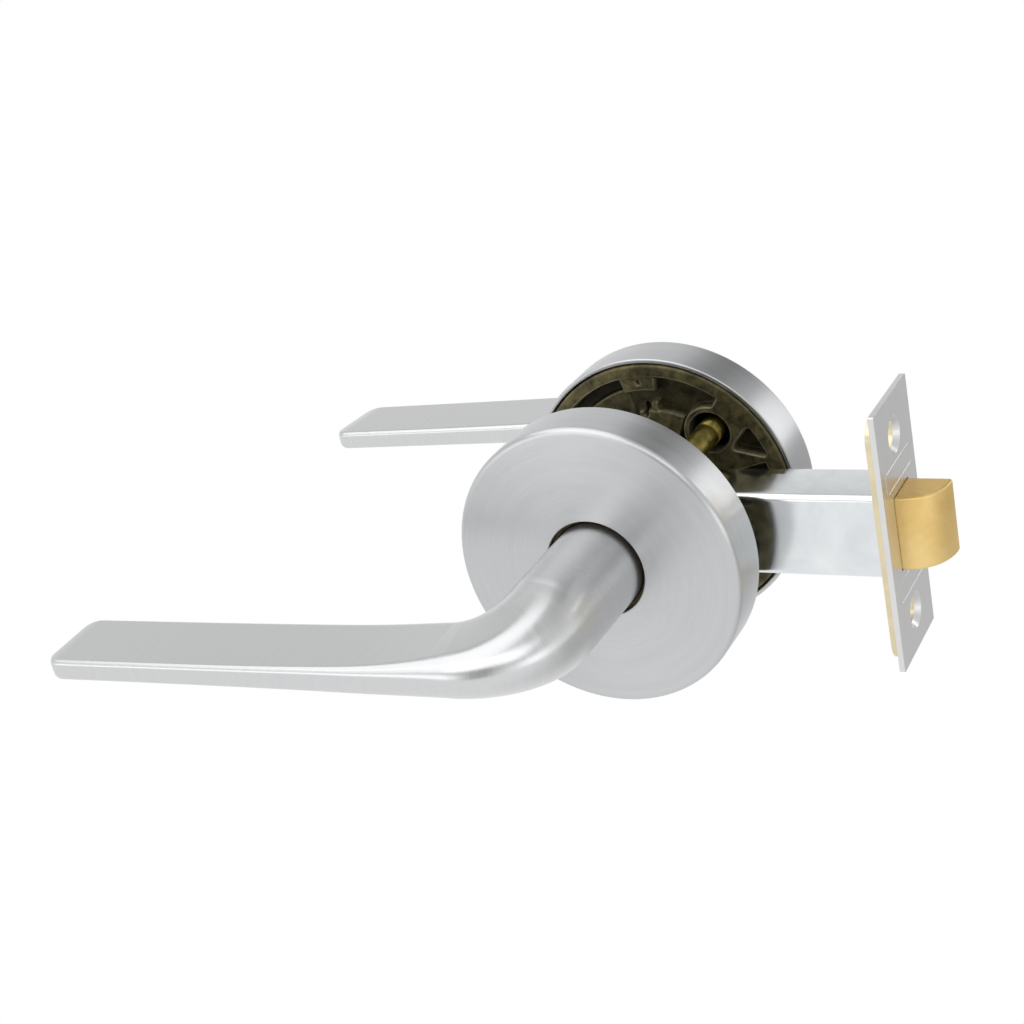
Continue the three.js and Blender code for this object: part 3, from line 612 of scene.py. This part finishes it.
def lever_skin(sign):
    """Points and UV map: the section stretched between the plan's two sides along a straight neck, a
    quarter bend and a straight blade, with a blind hole under the neck for the grub screw."""
    tip = np.linspace(0, np.pi / 2, 12)
    d = np.concatenate([
        np.linspace(NECK_START, 28, 8)[:-1], np.linspace(28, 36, 34)[:-1], np.linspace(36, 46, 14)[:-1],
        np.linspace(46, 92, 140)[:-1], np.linspace(92, BLADE_END - TIP_ROUND, 60)[:-1],
        BLADE_END - TIP_ROUND + TIP_ROUND * np.sin(tip)])[:, None]
    half_width, half_thick, corner, droop, tilt = lever_measures(d)
    past_tip = np.clip(d - BLADE_END + TIP_ROUND, 0, None) / TIP_ROUND
    round_off = 1 - np.sqrt(np.clip(1 - past_tip ** 2, 0, 1))
    half_width = half_width - TIP_ROUND * round_off
    half_thick = half_thick - BLADE_CORNER * round_off
    corner = np.minimum(corner, half_thick)
    droop = droop + 0.7 * round_off
    across, height = section_ring(half_width, half_thick, corner)
    height = height - np.clip(height / half_thick, 0, 1) * tilt * across / half_width + droop
    outer_x, outer_depth = plan_side(d, BEND_START, BLADE_START, BEND_RADIUS, BEND_RADIUS + half_width)
    far = BEND_RADIUS + FILL
    inner_x, inner_depth = plan_side(d, BEND_START - FILL, BLADE_START + FILL, far, far - half_width)
    share = (across / half_width + 1) / 2
    slant = TIP_SLANT * smooth_step(BLADE_END - 30, BLADE_END, d) * across / BLADE_HALF_WIDTH
    x = inner_x + (outer_x - inner_x) * share + slant
    depth = inner_depth + (outer_depth - inner_depth) * share
    from_screw = np.hypot(x, depth - SCREW_DEPTH)
    height = height + np.where(height < 0, 5.5 * smooth_step(2.95, 2.5, from_screw), 0)
    points = np.stack([x, sign * depth, height], axis=-1)
    sideways, upwards = (np.diff(v, axis=1, prepend=v[:, -1:]) for v in (across, height))
    around = np.cumsum(np.hypot(sideways, upwards), axis=1)
    uv = np.stack([np.broadcast_to(d, around.shape), around], axis=-1) * MM
    return points, uv


for side, sign in SIDES.items():
    points, uv = lever_skin(sign)
    rows, columns = points.shape[:2]
    caps = [np.arange(columns)[::-1], np.arange(columns) + (rows - 1) * columns]
    make_piece(f"{side}_lever_forged", points.reshape(-1, 3), grid_quads(rows, columns), caps,
               LEVER_CHROME, "lever_set", [f"{side}_lever"],
               sharp=50, uv=uv.reshape(-1, 2))

# %% [markdown]
# ## Base plates
# Behind each cover sits a zinc die casting that the posts clamp to the door. Its door side shows many
# shallow levels: a rim, a sunken floor, a lug, a raised arc, bosses with deep round pockets and rounded
# pockets that save metal. Draft and fillets soften every step. A polar height field does this well:
# each feature is a signed distance, and a smooth step of it blends one level into the next.

# %% Casting levels
PLATE_RADIUS = 31.0
PLATE_OPENING = 13.9
FLOOR = SEAT + 2.6
FLOOR_BACK = SEAT + 3.8
RIM_BACK = SEAT + 9.0
POST_CIRCLE = 20.0
POST_ANGLE = np.radians(47)
BOSS_RADIUS = 6.2
POCKET_RADIUS = 4.6
HALF_TURNS = (0, np.pi)


def post_centre(turn):
    """(x, z) of a fixing post; the second post is half a turn from the first."""
    return POST_CIRCLE * np.cos(POST_ANGLE + turn), POST_CIRCLE * np.sin(POST_ANGLE + turn)


def inside(distance, width=0.45):
    """1 where a signed distance is well below 0, 0 where it is above, smooth over `width`."""
    return smooth_step(width / 2, -width / 2, distance)


def sector_distance(radius, angle, low, high, start, end):
    """Signed distance to a ring sector: the largest of the four distances to its sides."""
    middle, half = (start + end) / 2, (end - start) / 2
    turn = np.abs((angle - middle + np.pi) % (2 * np.pi) - np.pi)
    return np.maximum(np.maximum(low - radius, radius - high), (turn - half) * radius)


def triangle_distance(x, z, corners, rounding):
    """Signed distance to a rounded triangle: the largest distance to its three sides."""
    sides = []
    centre = corners.mean(axis=0)
    for a, b in zip(corners, np.roll(corners, -1, axis=0)):
        normal = np.array([b[1] - a[1], a[0] - b[0]]) / np.linalg.norm(b - a)
        if (centre - a) @ normal > 0:
            normal = -normal
        sides.append((x - a[0]) * normal[0] + (z - a[1]) * normal[1] + rounding)
    sides = np.array(sides)
    outside = np.linalg.norm(np.clip(sides, 0, None), axis=0)
    return np.where(sides.max(axis=0) > 0, outside, sides.max(axis=0)) - rounding


def casting_front(radius, angle):
    """Depth of the casting's door side at every (radius, angle)."""
    x, z = radius * np.cos(angle), radius * np.sin(angle)
    depth = np.full(x.shape, FLOOR)

    def lay(distance, level, width=0.45):
        nonlocal depth
        depth = blended(depth, level, inside(distance, width))

    shallow = sector_distance(radius, angle, 15.0, 25.2, np.radians(103), np.radians(222))
    lay(shallow, FLOOR - 0.5, 0.7)
    for turn in HALF_TURNS:
        lay(sector_distance(radius, angle, 12, 32, 0.06 + turn, POST_ANGLE + 0.13 + turn), SEAT + 0.08, 0.8)
        lay(sector_distance(radius, angle, 12, 19.8, 1.15 + turn, 1.72 + turn), SEAT + 0.8, 0.5)
        lay(sector_distance(radius, angle, 12, 18.2, 2.2 + turn, 2.9 + turn), SEAT + 1.0, 0.5)
    lay(sector_distance(radius, angle, 24.6, 29, np.radians(85), np.radians(103)), SEAT + 0.35, 0.5)
    lay(sector_distance(radius, angle, 26.2, 27.2, np.radians(93), np.radians(95)), SEAT + 1.2, 0.3)
    lay(sector_distance(radius, angle, 25.2, 28, np.radians(106), np.radians(155)), FLOOR + 0.9, 0.5)
    lay(sector_distance(radius, angle, 24.2, 28, np.radians(246), np.radians(300)), FLOOR + 0.7, 0.6)
    lay(np.abs(x + 1.2) - 0.5 + np.clip(np.abs(z - 19.7) - 1.1, 0, None), FLOOR_BACK - 0.4, 0.3)
    lay(np.maximum(np.abs(x - 1.1) - 0.8, np.abs(z - 20.6) - 1.2), SEAT + 1.0, 0.4)
    lay(-radius + 28, SEAT, 0.5)
    for turn in HALF_TURNS:
        post_x, post_z = post_centre(turn)
        from_post = np.hypot(x - post_x, z - post_z)
        corners = np.array([[22.9, 16.0], [18.2, 10.6], [26.6, 8.7]]) * (1 if turn == 0 else -1)
        lay(triangle_distance(x, z, corners, 1.3), FLOOR_BACK - 0.7, 0.6)
        lower = sector_distance(radius, angle, 20.4, 26.6, turn + 0.10, turn + 0.27)
        lay(lower, FLOOR_BACK - 0.9, 0.6)
        lay(from_post - BOSS_RADIUS, SEAT + 0.08, 0.5)
        lay(from_post - POCKET_RADIUS, SEAT + 6.6, 0.4)
    for mark in (2.35, 3.6, 5.5):
        from_pin = np.hypot(x - 22.5 * np.cos(mark), z - 22.5 * np.sin(mark))
        lay(np.abs(from_pin - 1.5) - 0.15, FLOOR + 0.12, 0.3)
    return depth


def casting_back(radius, angle):
    """Depth of the hidden side: a flat floor, a high rim and two bosses."""
    x, z = radius * np.cos(angle), radius * np.sin(angle)
    depth = np.full(x.shape, FLOOR_BACK)
    depth = blended(depth, RIM_BACK, inside(28.2 - radius, 0.6))
    for turn in HALF_TURNS:
        post_x, post_z = post_centre(turn)
        boss = inside(np.hypot(x - post_x, z - post_z) - BOSS_RADIUS, 0.8)
        depth = blended(depth, SEAT + 8, boss)
    return depth


def local_mean(values, reach):
    """Mean over a square of neighbours, by sums of shifted copies."""
    shifts = range(-reach, reach + 1)
    along = sum(np.roll(values, s, axis=1) for s in shifts) / len(shifts)
    padded = np.pad(along, ((reach, reach), (0, 0)), mode="edge")
    return sum(padded[reach + s:reach + s + len(values)] for s in shifts) / len(shifts)


def casting_points(segments=760):
    """Rows of points: door side outwards, outer wall, hidden side inwards; and the masks of rubbed
    edges (nearer the door than their neighbours' mean) and of painted shade (darker the deeper)."""
    angle = np.linspace(0, 2 * np.pi, segments, endpoint=False)[None]
    front_radius = np.hstack([PLATE_OPENING, np.linspace(14.0, 30.5, 88), 30.8, PLATE_RADIUS])[:, None]
    back_radius = np.hstack([PLATE_RADIUS, np.linspace(30.7, 14.2, 26), PLATE_OPENING])[:, None]
    front = casting_front(front_radius, angle)
    front[-1] += 0.25
    front[-2] += 0.07
    back = casting_back(back_radius, angle)
    radius = np.vstack([front_radius, back_radius])
    depth = np.vstack([front, back])
    x, z = radius * np.cos(angle), radius * np.sin(angle)
    edges = np.clip((local_mean(front, 2) - front) * 3.2, 0, 1)
    rubbed = np.vstack([edges, np.zeros_like(back)])
    # Painted shade mask: 0 near the seat, rising to 1 in the deepest pockets.
    painted_shade = np.vstack([smooth_step(SEAT + 0.6, FLOOR_BACK + 0.4, front), np.zeros_like(back)])
    return np.stack([x, depth, z], axis=-1), rubbed, painted_shade


cast_points, cast_rubbed, cast_painted_shade = casting_points()
rows, columns = cast_points.shape[:2]
for side, sign in SIDES.items():
    points = cast_points.copy()
    if sign < 0:
        turn = 2 * POST_ANGLE
        x, z = points[..., 0].copy(), points[..., 2].copy()
        points[..., 0] = x * np.cos(turn) + z * np.sin(turn)
        points[..., 2] = x * np.sin(turn) - z * np.cos(turn)
        points[..., 1] *= -1
    casting = make_piece(f"{side}_casting", points.reshape(-1, 3), grid_quads(rows, columns, wrap_rows=True),
                         [], CHROMATE, "door_set", [f"{side}_base_plate"], sharp=60)
    # The rubbed edges and the painted shade go on the mesh as point attributes.
    for label, values in (("rubbed", cast_rubbed), ("painted_shade", cast_painted_shade)):
        mask = casting.data.attributes.new(label, "FLOAT", "POINT")
        mask.data.foreach_set("value", values.astype(np.float32).ravel())
cast_depth = cast_points[..., 1]
print("casting depth from", round(cast_depth.min(), 2), "to", round(cast_depth.max(), 2), "mm")

# %% [markdown]
# ## Rotors, rings and bushes
# Each lever's keyed end turns in a black nylon carrier, held in the plate by an open wire ring. A
# bronze bush fills the gap at the cover's hole. Both are turned shapes. The ring is a round wire
# carried along an arc that stops short of closing, and the return spring is one carried along a helix.

# %% Turned small parts
def tube(path, radius, around=16):
    """Round wire along a path: rings of points in the plane across the path's direction."""
    direction = np.gradient(path, axis=0)
    direction /= np.linalg.norm(direction, axis=1, keepdims=True)
    guide = (0.0, 1.0, 0.0) if abs(direction[:, 1]).mean() < 0.7 else (1.0, 0.0, 0.0)
    first = np.cross(direction, guide)
    first /= np.linalg.norm(first, axis=1, keepdims=True)
    second = np.cross(direction, first)
    angle = np.linspace(0, 2 * np.pi, around, endpoint=False)
    ring = first[:, None] * np.cos(angle)[:, None] + second[:, None] * np.sin(angle)[:, None]
    points = (path[:, None] + radius * ring).reshape(-1, 3)
    caps = [np.arange(around), np.arange(around)[::-1] + (len(path) - 1) * around]
    return points, grid_quads(len(path), around), caps


def coil(radius, start, length, turns, along_x=False, sign=1, steps=48):
    """Path of a helix: (radius cos t, start + pitch t, radius sin t) about the Y or the X axis."""
    t = np.linspace(0, 1, int(steps * turns) + 1)
    angle = 2 * np.pi * turns * t
    along = sign * (start + length * t)
    across, up = radius * np.cos(angle), radius * np.sin(angle)
    return np.stack([along, across, up] if along_x else [across, along, up], axis=1)


ROTOR_RADIUS = 13.6
RING_RADIUS = 14.05
RETURN_SPRING_RADIUS = 13.6
for side, sign in SIDES.items():
    rotor_profile = rounded([
        (7.8, SEAT + 0.6, 0.3), (ROTOR_RADIUS, SEAT + 0.6, 0.15), (ROTOR_RADIUS, FLOOR_BACK + 1.1, 0),
        (ROTOR_RADIUS + 2.0, FLOOR_BACK + 1.1, 0.1), (ROTOR_RADIUS + 2.0, FLOOR_BACK + 2.3, 0.2),
        (8.9, FLOOR_BACK + 2.3, 0.1), (8.9, SEAT + 2.2, 0.1), (7.8, SEAT + 2.2, 0.1)], steps=3)
    points, quads = turned(rotor_profile, 128, sign)
    make_piece(f"{side}_rotor_moulded", points, quads, [], NYLON, "lever_set",
               [f"{side}_rotor"])
    t = np.linspace(-1.35, -1.35 + 1.4 * np.pi, 120)
    level = np.full(t.shape, sign * (SEAT + 1.15))
    path = np.stack([RING_RADIUS * np.cos(t), level, sign * RING_RADIUS * np.sin(t)], axis=1)
    points, quads, caps = tube(path, 0.42)
    make_piece(f"{side}_snap_wire", points, quads, caps, ZINC, "lever_set",
               [f"{side}_snap_ring"])
    points, quads = turned(rounded([
        (10.3, FLOOR_BACK + 2.6, 0.1), (12.3, FLOOR_BACK + 2.6, 0.1), (12.3, ROSE_FACE - 1.6, 0.25),
        (10.3, ROSE_FACE - 1.6, 0.3)], steps=4), 128, sign)
    make_piece(f"{side}_bush_turned", points, quads, [], BRONZE, "lever_set",
               [f"{side}_neck_bush"])
    path = coil(RETURN_SPRING_RADIUS, FLOOR_BACK + 3.4, 2.2, 1.8, sign=sign, steps=72)
    points, quads, caps = tube(path, 0.7)
    make_piece(f"{side}_spring_wound", points, quads, caps, SPRING, "door_set",
               [f"{side}_return_spring"])

# %% [markdown]
# ## Fixing posts and screws
# Two yellow-plated posts are riveted into the outside plate and cross the door; machine screws from
# the inside draw the two halves together. Each post is a turned shape with a rivet head and a short
# run of shallow thread at its other end. The screws are finished with the pressed parts below.

# %% Posts
for name, turn in zip(("upper", "lower"), HALF_TURNS):
    low, high = (np.array(corner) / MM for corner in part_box(f"{name}_fixing_post"))
    end, head = high[1], low[1]
    threads = [(2.95 if k % 2 else 2.72, end - 7 + 0.35 * k, 0) for k in range(18)]
    outline = [(2.05, end, 0.05), (2.05, end - 24, 0), (0.02, end - 24.6, 0), (0.02, head, 0),
               (3.0, head, 0.4), (3.4, head + 1.1, 0.2), (2.95, head + 1.2, 0)]
    post_profile = np.vstack([rounded(outline, 3), np.array(threads)[:, :2], [[2.6, end]]])
    points, quads = turned(post_profile, 64, 1, post_centre(turn))
    make_piece(f"{name}_post_turned", points, quads, [], YELLOW_ZINC, "door_set",
               [f"{name}_fixing_post"], sharp=40)

# %% [markdown]
# ## Pressed steel parts
# The latch case, drawbar, hub, rivets, spindle and plates are pressed, sheared or drawn from steel.
# The frame's own shapes are right for them, so each piece is a copy of one with its seams closed and
# its edges broken by a narrow bevel: real sheared metal always has such an edge, and it is what draws
# the bright lines.

# %% Copies with broken edges
def softened(source, material, body, width=0.12, segments=2, angle=28):
    """A copy of a CAD node with merged points, beveled sharp edges and smooth faces between them."""
    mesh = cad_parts[source].data.copy()
    mesh.name = f"{source}_finished"
    tidy_mesh(mesh, near=2e-6, flat=np.radians(0.4))
    mesh.materials.clear()
    mesh.materials.append(material)
    mesh.shade_smooth()
    mesh.set_sharp_from_angle(angle=np.radians(angle))
    piece = bpy.data.objects.new(f"{source}_finished", mesh)
    bpy.context.scene.collection.objects.link(piece)
    bevel = piece.modifiers.new("broken edges", "BEVEL")
    bevel.width = width * MM
    bevel.segments = segments
    bevel.limit_method = "ANGLE"
    bevel.angle_limit = np.radians(angle)
    bevel.harden_normals = True
    bevel.use_clamp_overlap = True
    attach(piece, body)
    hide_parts(source)
    print(f"{source}_finished: {len(mesh.polygons)} faces before its bevel")


softened("latch_case", ZINC, "door_set", 0.18, 3)
for number in (1, 2):
    softened(f"case_rivet_{number}", ZINC, "door_set", 0.2)
softened("spring_stop", ZINC, "door_set")
softened("drawbar", ZINC, "drawbar")
softened("latch_hub", STEEL, "lever_set", 0.15)
softened("spindle", ZINC, "lever_set", 0.1)
softened("backing_plate", PALE_YELLOW, "door_set", 0.12)
softened("faceplate", FACE_STEEL, "door_set", 0.16, 3)
for name in ("upper", "lower"):
    softened(f"{name}_fixing_screw", ZINC, "door_set", 0.12)
for side in SIDES:
    softened(f"{side}_thrust_washer", STEEL, "door_set", 0.08)
    softened(f"{side}_grub_screw", STEEL, "lever_set", 0.1)

points, quads, caps = tube(coil(3.7, 24.7, 19.9, 5, along_x=True), 0.45)
make_piece("bolt_spring_wound", points, quads, caps, SPRING, "door_set",
           ["bolt_spring"])

# %% [markdown]
# ## Latch bolt
# The bolt is cast brass, tumbled until its edges are soft. Its outside face curves back so that the
# door can push it in; the other is flat and holds the door. Its head is an outline of a quarter
# ellipse and straight lines, stacked upwards and drawn in at both ends to round the edges. Behind the
# faceplate a stem with two long notches leaves room for the drawbar's hooks.

# %% Bolt head and stem
BOLT_HALF_WIDTH = 5.25
BOLT_HALF_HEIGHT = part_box("latch_bolt")[1].z / MM
BOLT_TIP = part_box("latch_bolt")[1].x / MM
CURVE_RUN = 8.5
TIP_FILLET = 0.9
STEM_BACK, HEAD_BACK = 44.0, 57.2
HALF_NOTCH = 3.2
NOTCH_LEVEL = 6.55


def bolt_outline(inset):
    """Plan of the head, drawn in by `inset`: a quarter ellipse, a small tip round and straight sides."""
    t = np.linspace(-np.pi / 2, 0, 48)
    centre = np.array([BOLT_TIP - CURVE_RUN, BOLT_HALF_WIDTH - TIP_FILLET])
    a, b = CURVE_RUN - inset, 2 * BOLT_HALF_WIDTH - TIP_FILLET - inset
    curve = centre + np.stack([a * np.cos(t), b * np.sin(t)], axis=1)
    s = np.linspace(0, np.pi / 2, 8)
    tip_centre = np.array([BOLT_TIP - TIP_FILLET, BOLT_HALF_WIDTH - TIP_FILLET])
    corner = tip_centre + (TIP_FILLET - inset) * np.stack([np.cos(s), np.sin(s)], axis=1)
    ends = np.array([[HEAD_BACK, BOLT_HALF_WIDTH - inset], [HEAD_BACK, -BOLT_HALF_WIDTH + inset]])
    return np.vstack([curve[:-1], corner, ends])


def stacked(outline_at, half_height, fillet, steps=6):
    """Outlines stacked up Z, drawn in along a quarter circle at both ends."""
    t = np.linspace(0, np.pi / 2, steps + 1)
    inset = fillet * (1 - np.sin(t))
    rise = fillet * (1 - np.cos(t))
    inset = np.concatenate([inset, inset[::-1]])
    level = np.concatenate([-half_height + rise, half_height - rise[::-1]])
    rings = [np.column_stack([outline_at(i), np.full(len(outline_at(i)), z)]) for i, z in zip(inset, level)]
    count = len(rings[0])
    caps = [np.arange(count)[::-1], np.arange(count) + (len(rings) - 1) * count]
    return np.vstack(rings), grid_quads(len(rings), count), caps


points, quads, caps = stacked(bolt_outline, BOLT_HALF_HEIGHT, 0.55)
make_piece("bolt_head_cast", points, quads, caps, BRASS, "latch_bolt",
           ["latch_bolt"], sharp=40)

lower_edge = np.array([
    [-BOLT_HALF_WIDTH, -BOLT_HALF_HEIGHT], [-HALF_NOTCH, -BOLT_HALF_HEIGHT], [-HALF_NOTCH, -NOTCH_LEVEL],
    [HALF_NOTCH, -NOTCH_LEVEL], [HALF_NOTCH, -BOLT_HALF_HEIGHT], [BOLT_HALF_WIDTH, -BOLT_HALF_HEIGHT]])
cross = np.vstack([lower_edge, -lower_edge])
points = np.vstack([np.column_stack([np.full(12, x), cross]) for x in (STEM_BACK, HEAD_BACK)])
make_piece("bolt_stem_cast", points, grid_quads(2, 12), [np.arange(12)[::-1], np.arange(12, 24)], BRASS,
           "latch_bolt", sharp=30)

# %% [markdown]
# ## Stamped border
# The faceplate has a shallow stamped rectangle above and below the bolt, left blank here. Each is a
# low rounded bead carried round a rectangle with rounded corners.

# %% Blank stamped rectangles
def bead_loop(half_y, half_z, corner, centre_z, width, rise, steps=8):
    """A half-round bead along a rounded rectangle in the faceplate's plane."""
    t = np.linspace(0, np.pi / 2, steps)
    path, out = [], []
    for quarter, (sy, sz) in enumerate([(1, 1), (-1, 1), (-1, -1), (1, -1)]):
        angle = quarter * np.pi / 2 + t
        ring = np.stack([np.cos(angle), np.sin(angle)], axis=1)
        path.append(np.array([sy * (half_y - corner), centre_z + sz * (half_z - corner)]) + corner * ring)
        out.append(ring)
    path, out = np.vstack(path), np.vstack(out)
    s = np.linspace(0, np.pi, 7)
    across = np.concatenate([width / 2 * np.cos(s), [-width / 2, width / 2]])
    height = np.concatenate([rise * np.sin(s), [-0.1, -0.1]])
    plane = path[:, None] + out[:, None] * across[:, None]
    x = np.broadcast_to(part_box("faceplate")[1].x / MM + height, plane.shape[:2])
    points = np.concatenate([x[..., None], plane], axis=-1)
    return points.reshape(-1, 3), grid_quads(len(path), len(across), wrap_rows=True)


for name, level in (("upper", 12.4), ("lower", -12.4)):
    points, quads = bead_loop(8.6, 2.2, 0.8, level, 0.45, 0.07)
    make_piece(f"{name}_blank_border", points, quads, [], FACE_STEEL, "door_set")

# %% [markdown]
# ## Floor and light
# The set hangs in the air over a pale floor, as on a hidden stand. The floor and the sky glow, an even
# white for the camera and uneven for the metal, which mostly shows what surrounds it: the floor is
# dimmer behind on the right, and the sky has a dark strip behind the levers' necks. Soft boxes add the
# bright streaks.

# %% Stage
def soft_box(name, direction, distance, size, radiance):
    """A rectangle light that faces the object; its power is pi x area x radiance."""
    lamp = bpy.data.lights.new(name, "AREA")
    lamp.shape = "RECTANGLE"
    lamp.size, lamp.size_y = size
    lamp.energy = np.pi * size[0] * size[1] * radiance
    stand = bpy.data.objects.new(name, lamp)
    way = Vector(direction).normalized()
    stand.location = way * distance
    stand.rotation_euler = way.to_track_quat("Z", "Y").to_euler()
    bpy.context.scene.collection.objects.link(stand)


soft_box("overhead front", (0.05, -0.62, 0.72), 1.4, (2.3, 0.8), 1.25)
soft_box("above", (-0.35, -0.05, 0.85), 1.4, (1.2, 1.5), 0.95)
soft_box("front left", (-0.6, -0.8, 0.12), 1.5, (1.1, 0.5), 0.8)
soft_box("behind right", (0.6, 0.78, 0.2), 1.4, (0.35, 0.6), 1.7)
soft_box("front right", (0.95, -0.5, 0.1), 1.4, (0.7, 0.5), 0.8)

FLOOR_LEVEL = -0.35
FLOOR_HALF = 6.0


def eased(tree, value, start, end, low=0.0, high=1.0, kind="SMOOTHSTEP"):
    """A socket that goes from low to high while the value goes from start to end."""
    made = node(tree, "ShaderNodeMapRange",
                {"From Min": start, "From Max": end, "To Min": low, "To Max": high}, interpolation_type=kind)
    link(tree, value, made.inputs["Value"])
    return made.outputs[0]


def white_to_camera(tree, strength, target):
    """Sets a strength that the camera sees as 1, while reflections and shadows see it as it is."""
    seen = node(tree, "ShaderNodeMix", data_type="FLOAT")
    link(tree, node(tree, "ShaderNodeLightPath").outputs["Is Camera Ray"], seen.inputs["Factor"])
    link(tree, strength, seen.inputs["A"])
    seen.inputs["B"].default_value = 1.0
    link(tree, seen.outputs["Result"], target)


def glowing_floor():
    """An emission that is dimmer behind the set and to its right."""
    material = bpy.data.materials.new("pale floor")
    material.use_nodes = True
    tree = material.node_tree
    glow = node(tree, "ShaderNodeEmission")
    place = node(tree, "ShaderNodeSeparateXYZ")
    link(tree, object_place(tree), place.inputs[0])
    behind = eased(tree, place.outputs["Y"], -0.5, 0.25)
    right = eased(tree, place.outputs["X"], -0.1, 0.4, high=-0.42)
    fade = math_node(tree, "MULTIPLY_ADD", behind, right, 0.95)
    white_to_camera(tree, fade, glow.inputs["Strength"])
    link(tree, glow.outputs[0], tree.nodes["Material Output"].inputs["Surface"])
    return material


def studio_sky():
    """A sky that dims upwards, with a dark strip over x = 0.13 that ends below the zenith."""
    world = bpy.data.worlds.new("studio")
    world.use_nodes = True
    tree = world.node_tree
    way = node(tree, "ShaderNodeSeparateXYZ")
    link(tree, node(tree, "ShaderNodeTexCoord").outputs["Generated"], way.inputs[0])
    dimming = eased(tree, way.outputs["Z"], 0.1, 0.7, 0.95, 0.6, "LINEAR")
    aside = math_node(tree, "ABSOLUTE", math_node(tree, "SUBTRACT", way.outputs["X"], 0.13))
    strip = eased(tree, aside, 0.08, 0.34, 0.2, 1.0)
    zenith = eased(tree, way.outputs["Z"], 0.6, 0.85)
    strip = math_node(tree, "MAXIMUM", strip, zenith)
    sky = tree.nodes["Background"]
    sky.inputs["Color"].default_value = (1, 1, 1, 1)
    white_to_camera(tree, math_node(tree, "MULTIPLY", dimming, strip), sky.inputs["Strength"])
    return world


floor_mesh = bpy.data.meshes.new("floor")
floor_mesh.from_pydata([(x * FLOOR_HALF, y * FLOOR_HALF, FLOOR_LEVEL)
                        for x, y in ((-1, -1), (1, -1), (1, 1), (-1, 1))], [], [(0, 1, 2, 3)])
floor_mesh.materials.append(glowing_floor())
floor = bpy.data.objects.new("floor", floor_mesh)
bpy.context.scene.collection.objects.link(floor)
floor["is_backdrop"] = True
bpy.context.scene.world = studio_sky()

# %% [markdown]
# ## Size and finish
# The finished model should fill the same space as the frame. Both boxes are gathered, and the last line
# prints how far the model's box grew past the frame's.

# %% Compare and finish
model_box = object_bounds()
as_lists = {"cad": [list(map(float, corner)) for corner in cad_box],
            "model": [list(map(float, corner)) for corner in model_box]}
growth = (np.array(as_lists["model"]) - np.array(as_lists["cad"])) / MM
print("model grew by", np.round(growth, 2).tolist(), "mm")
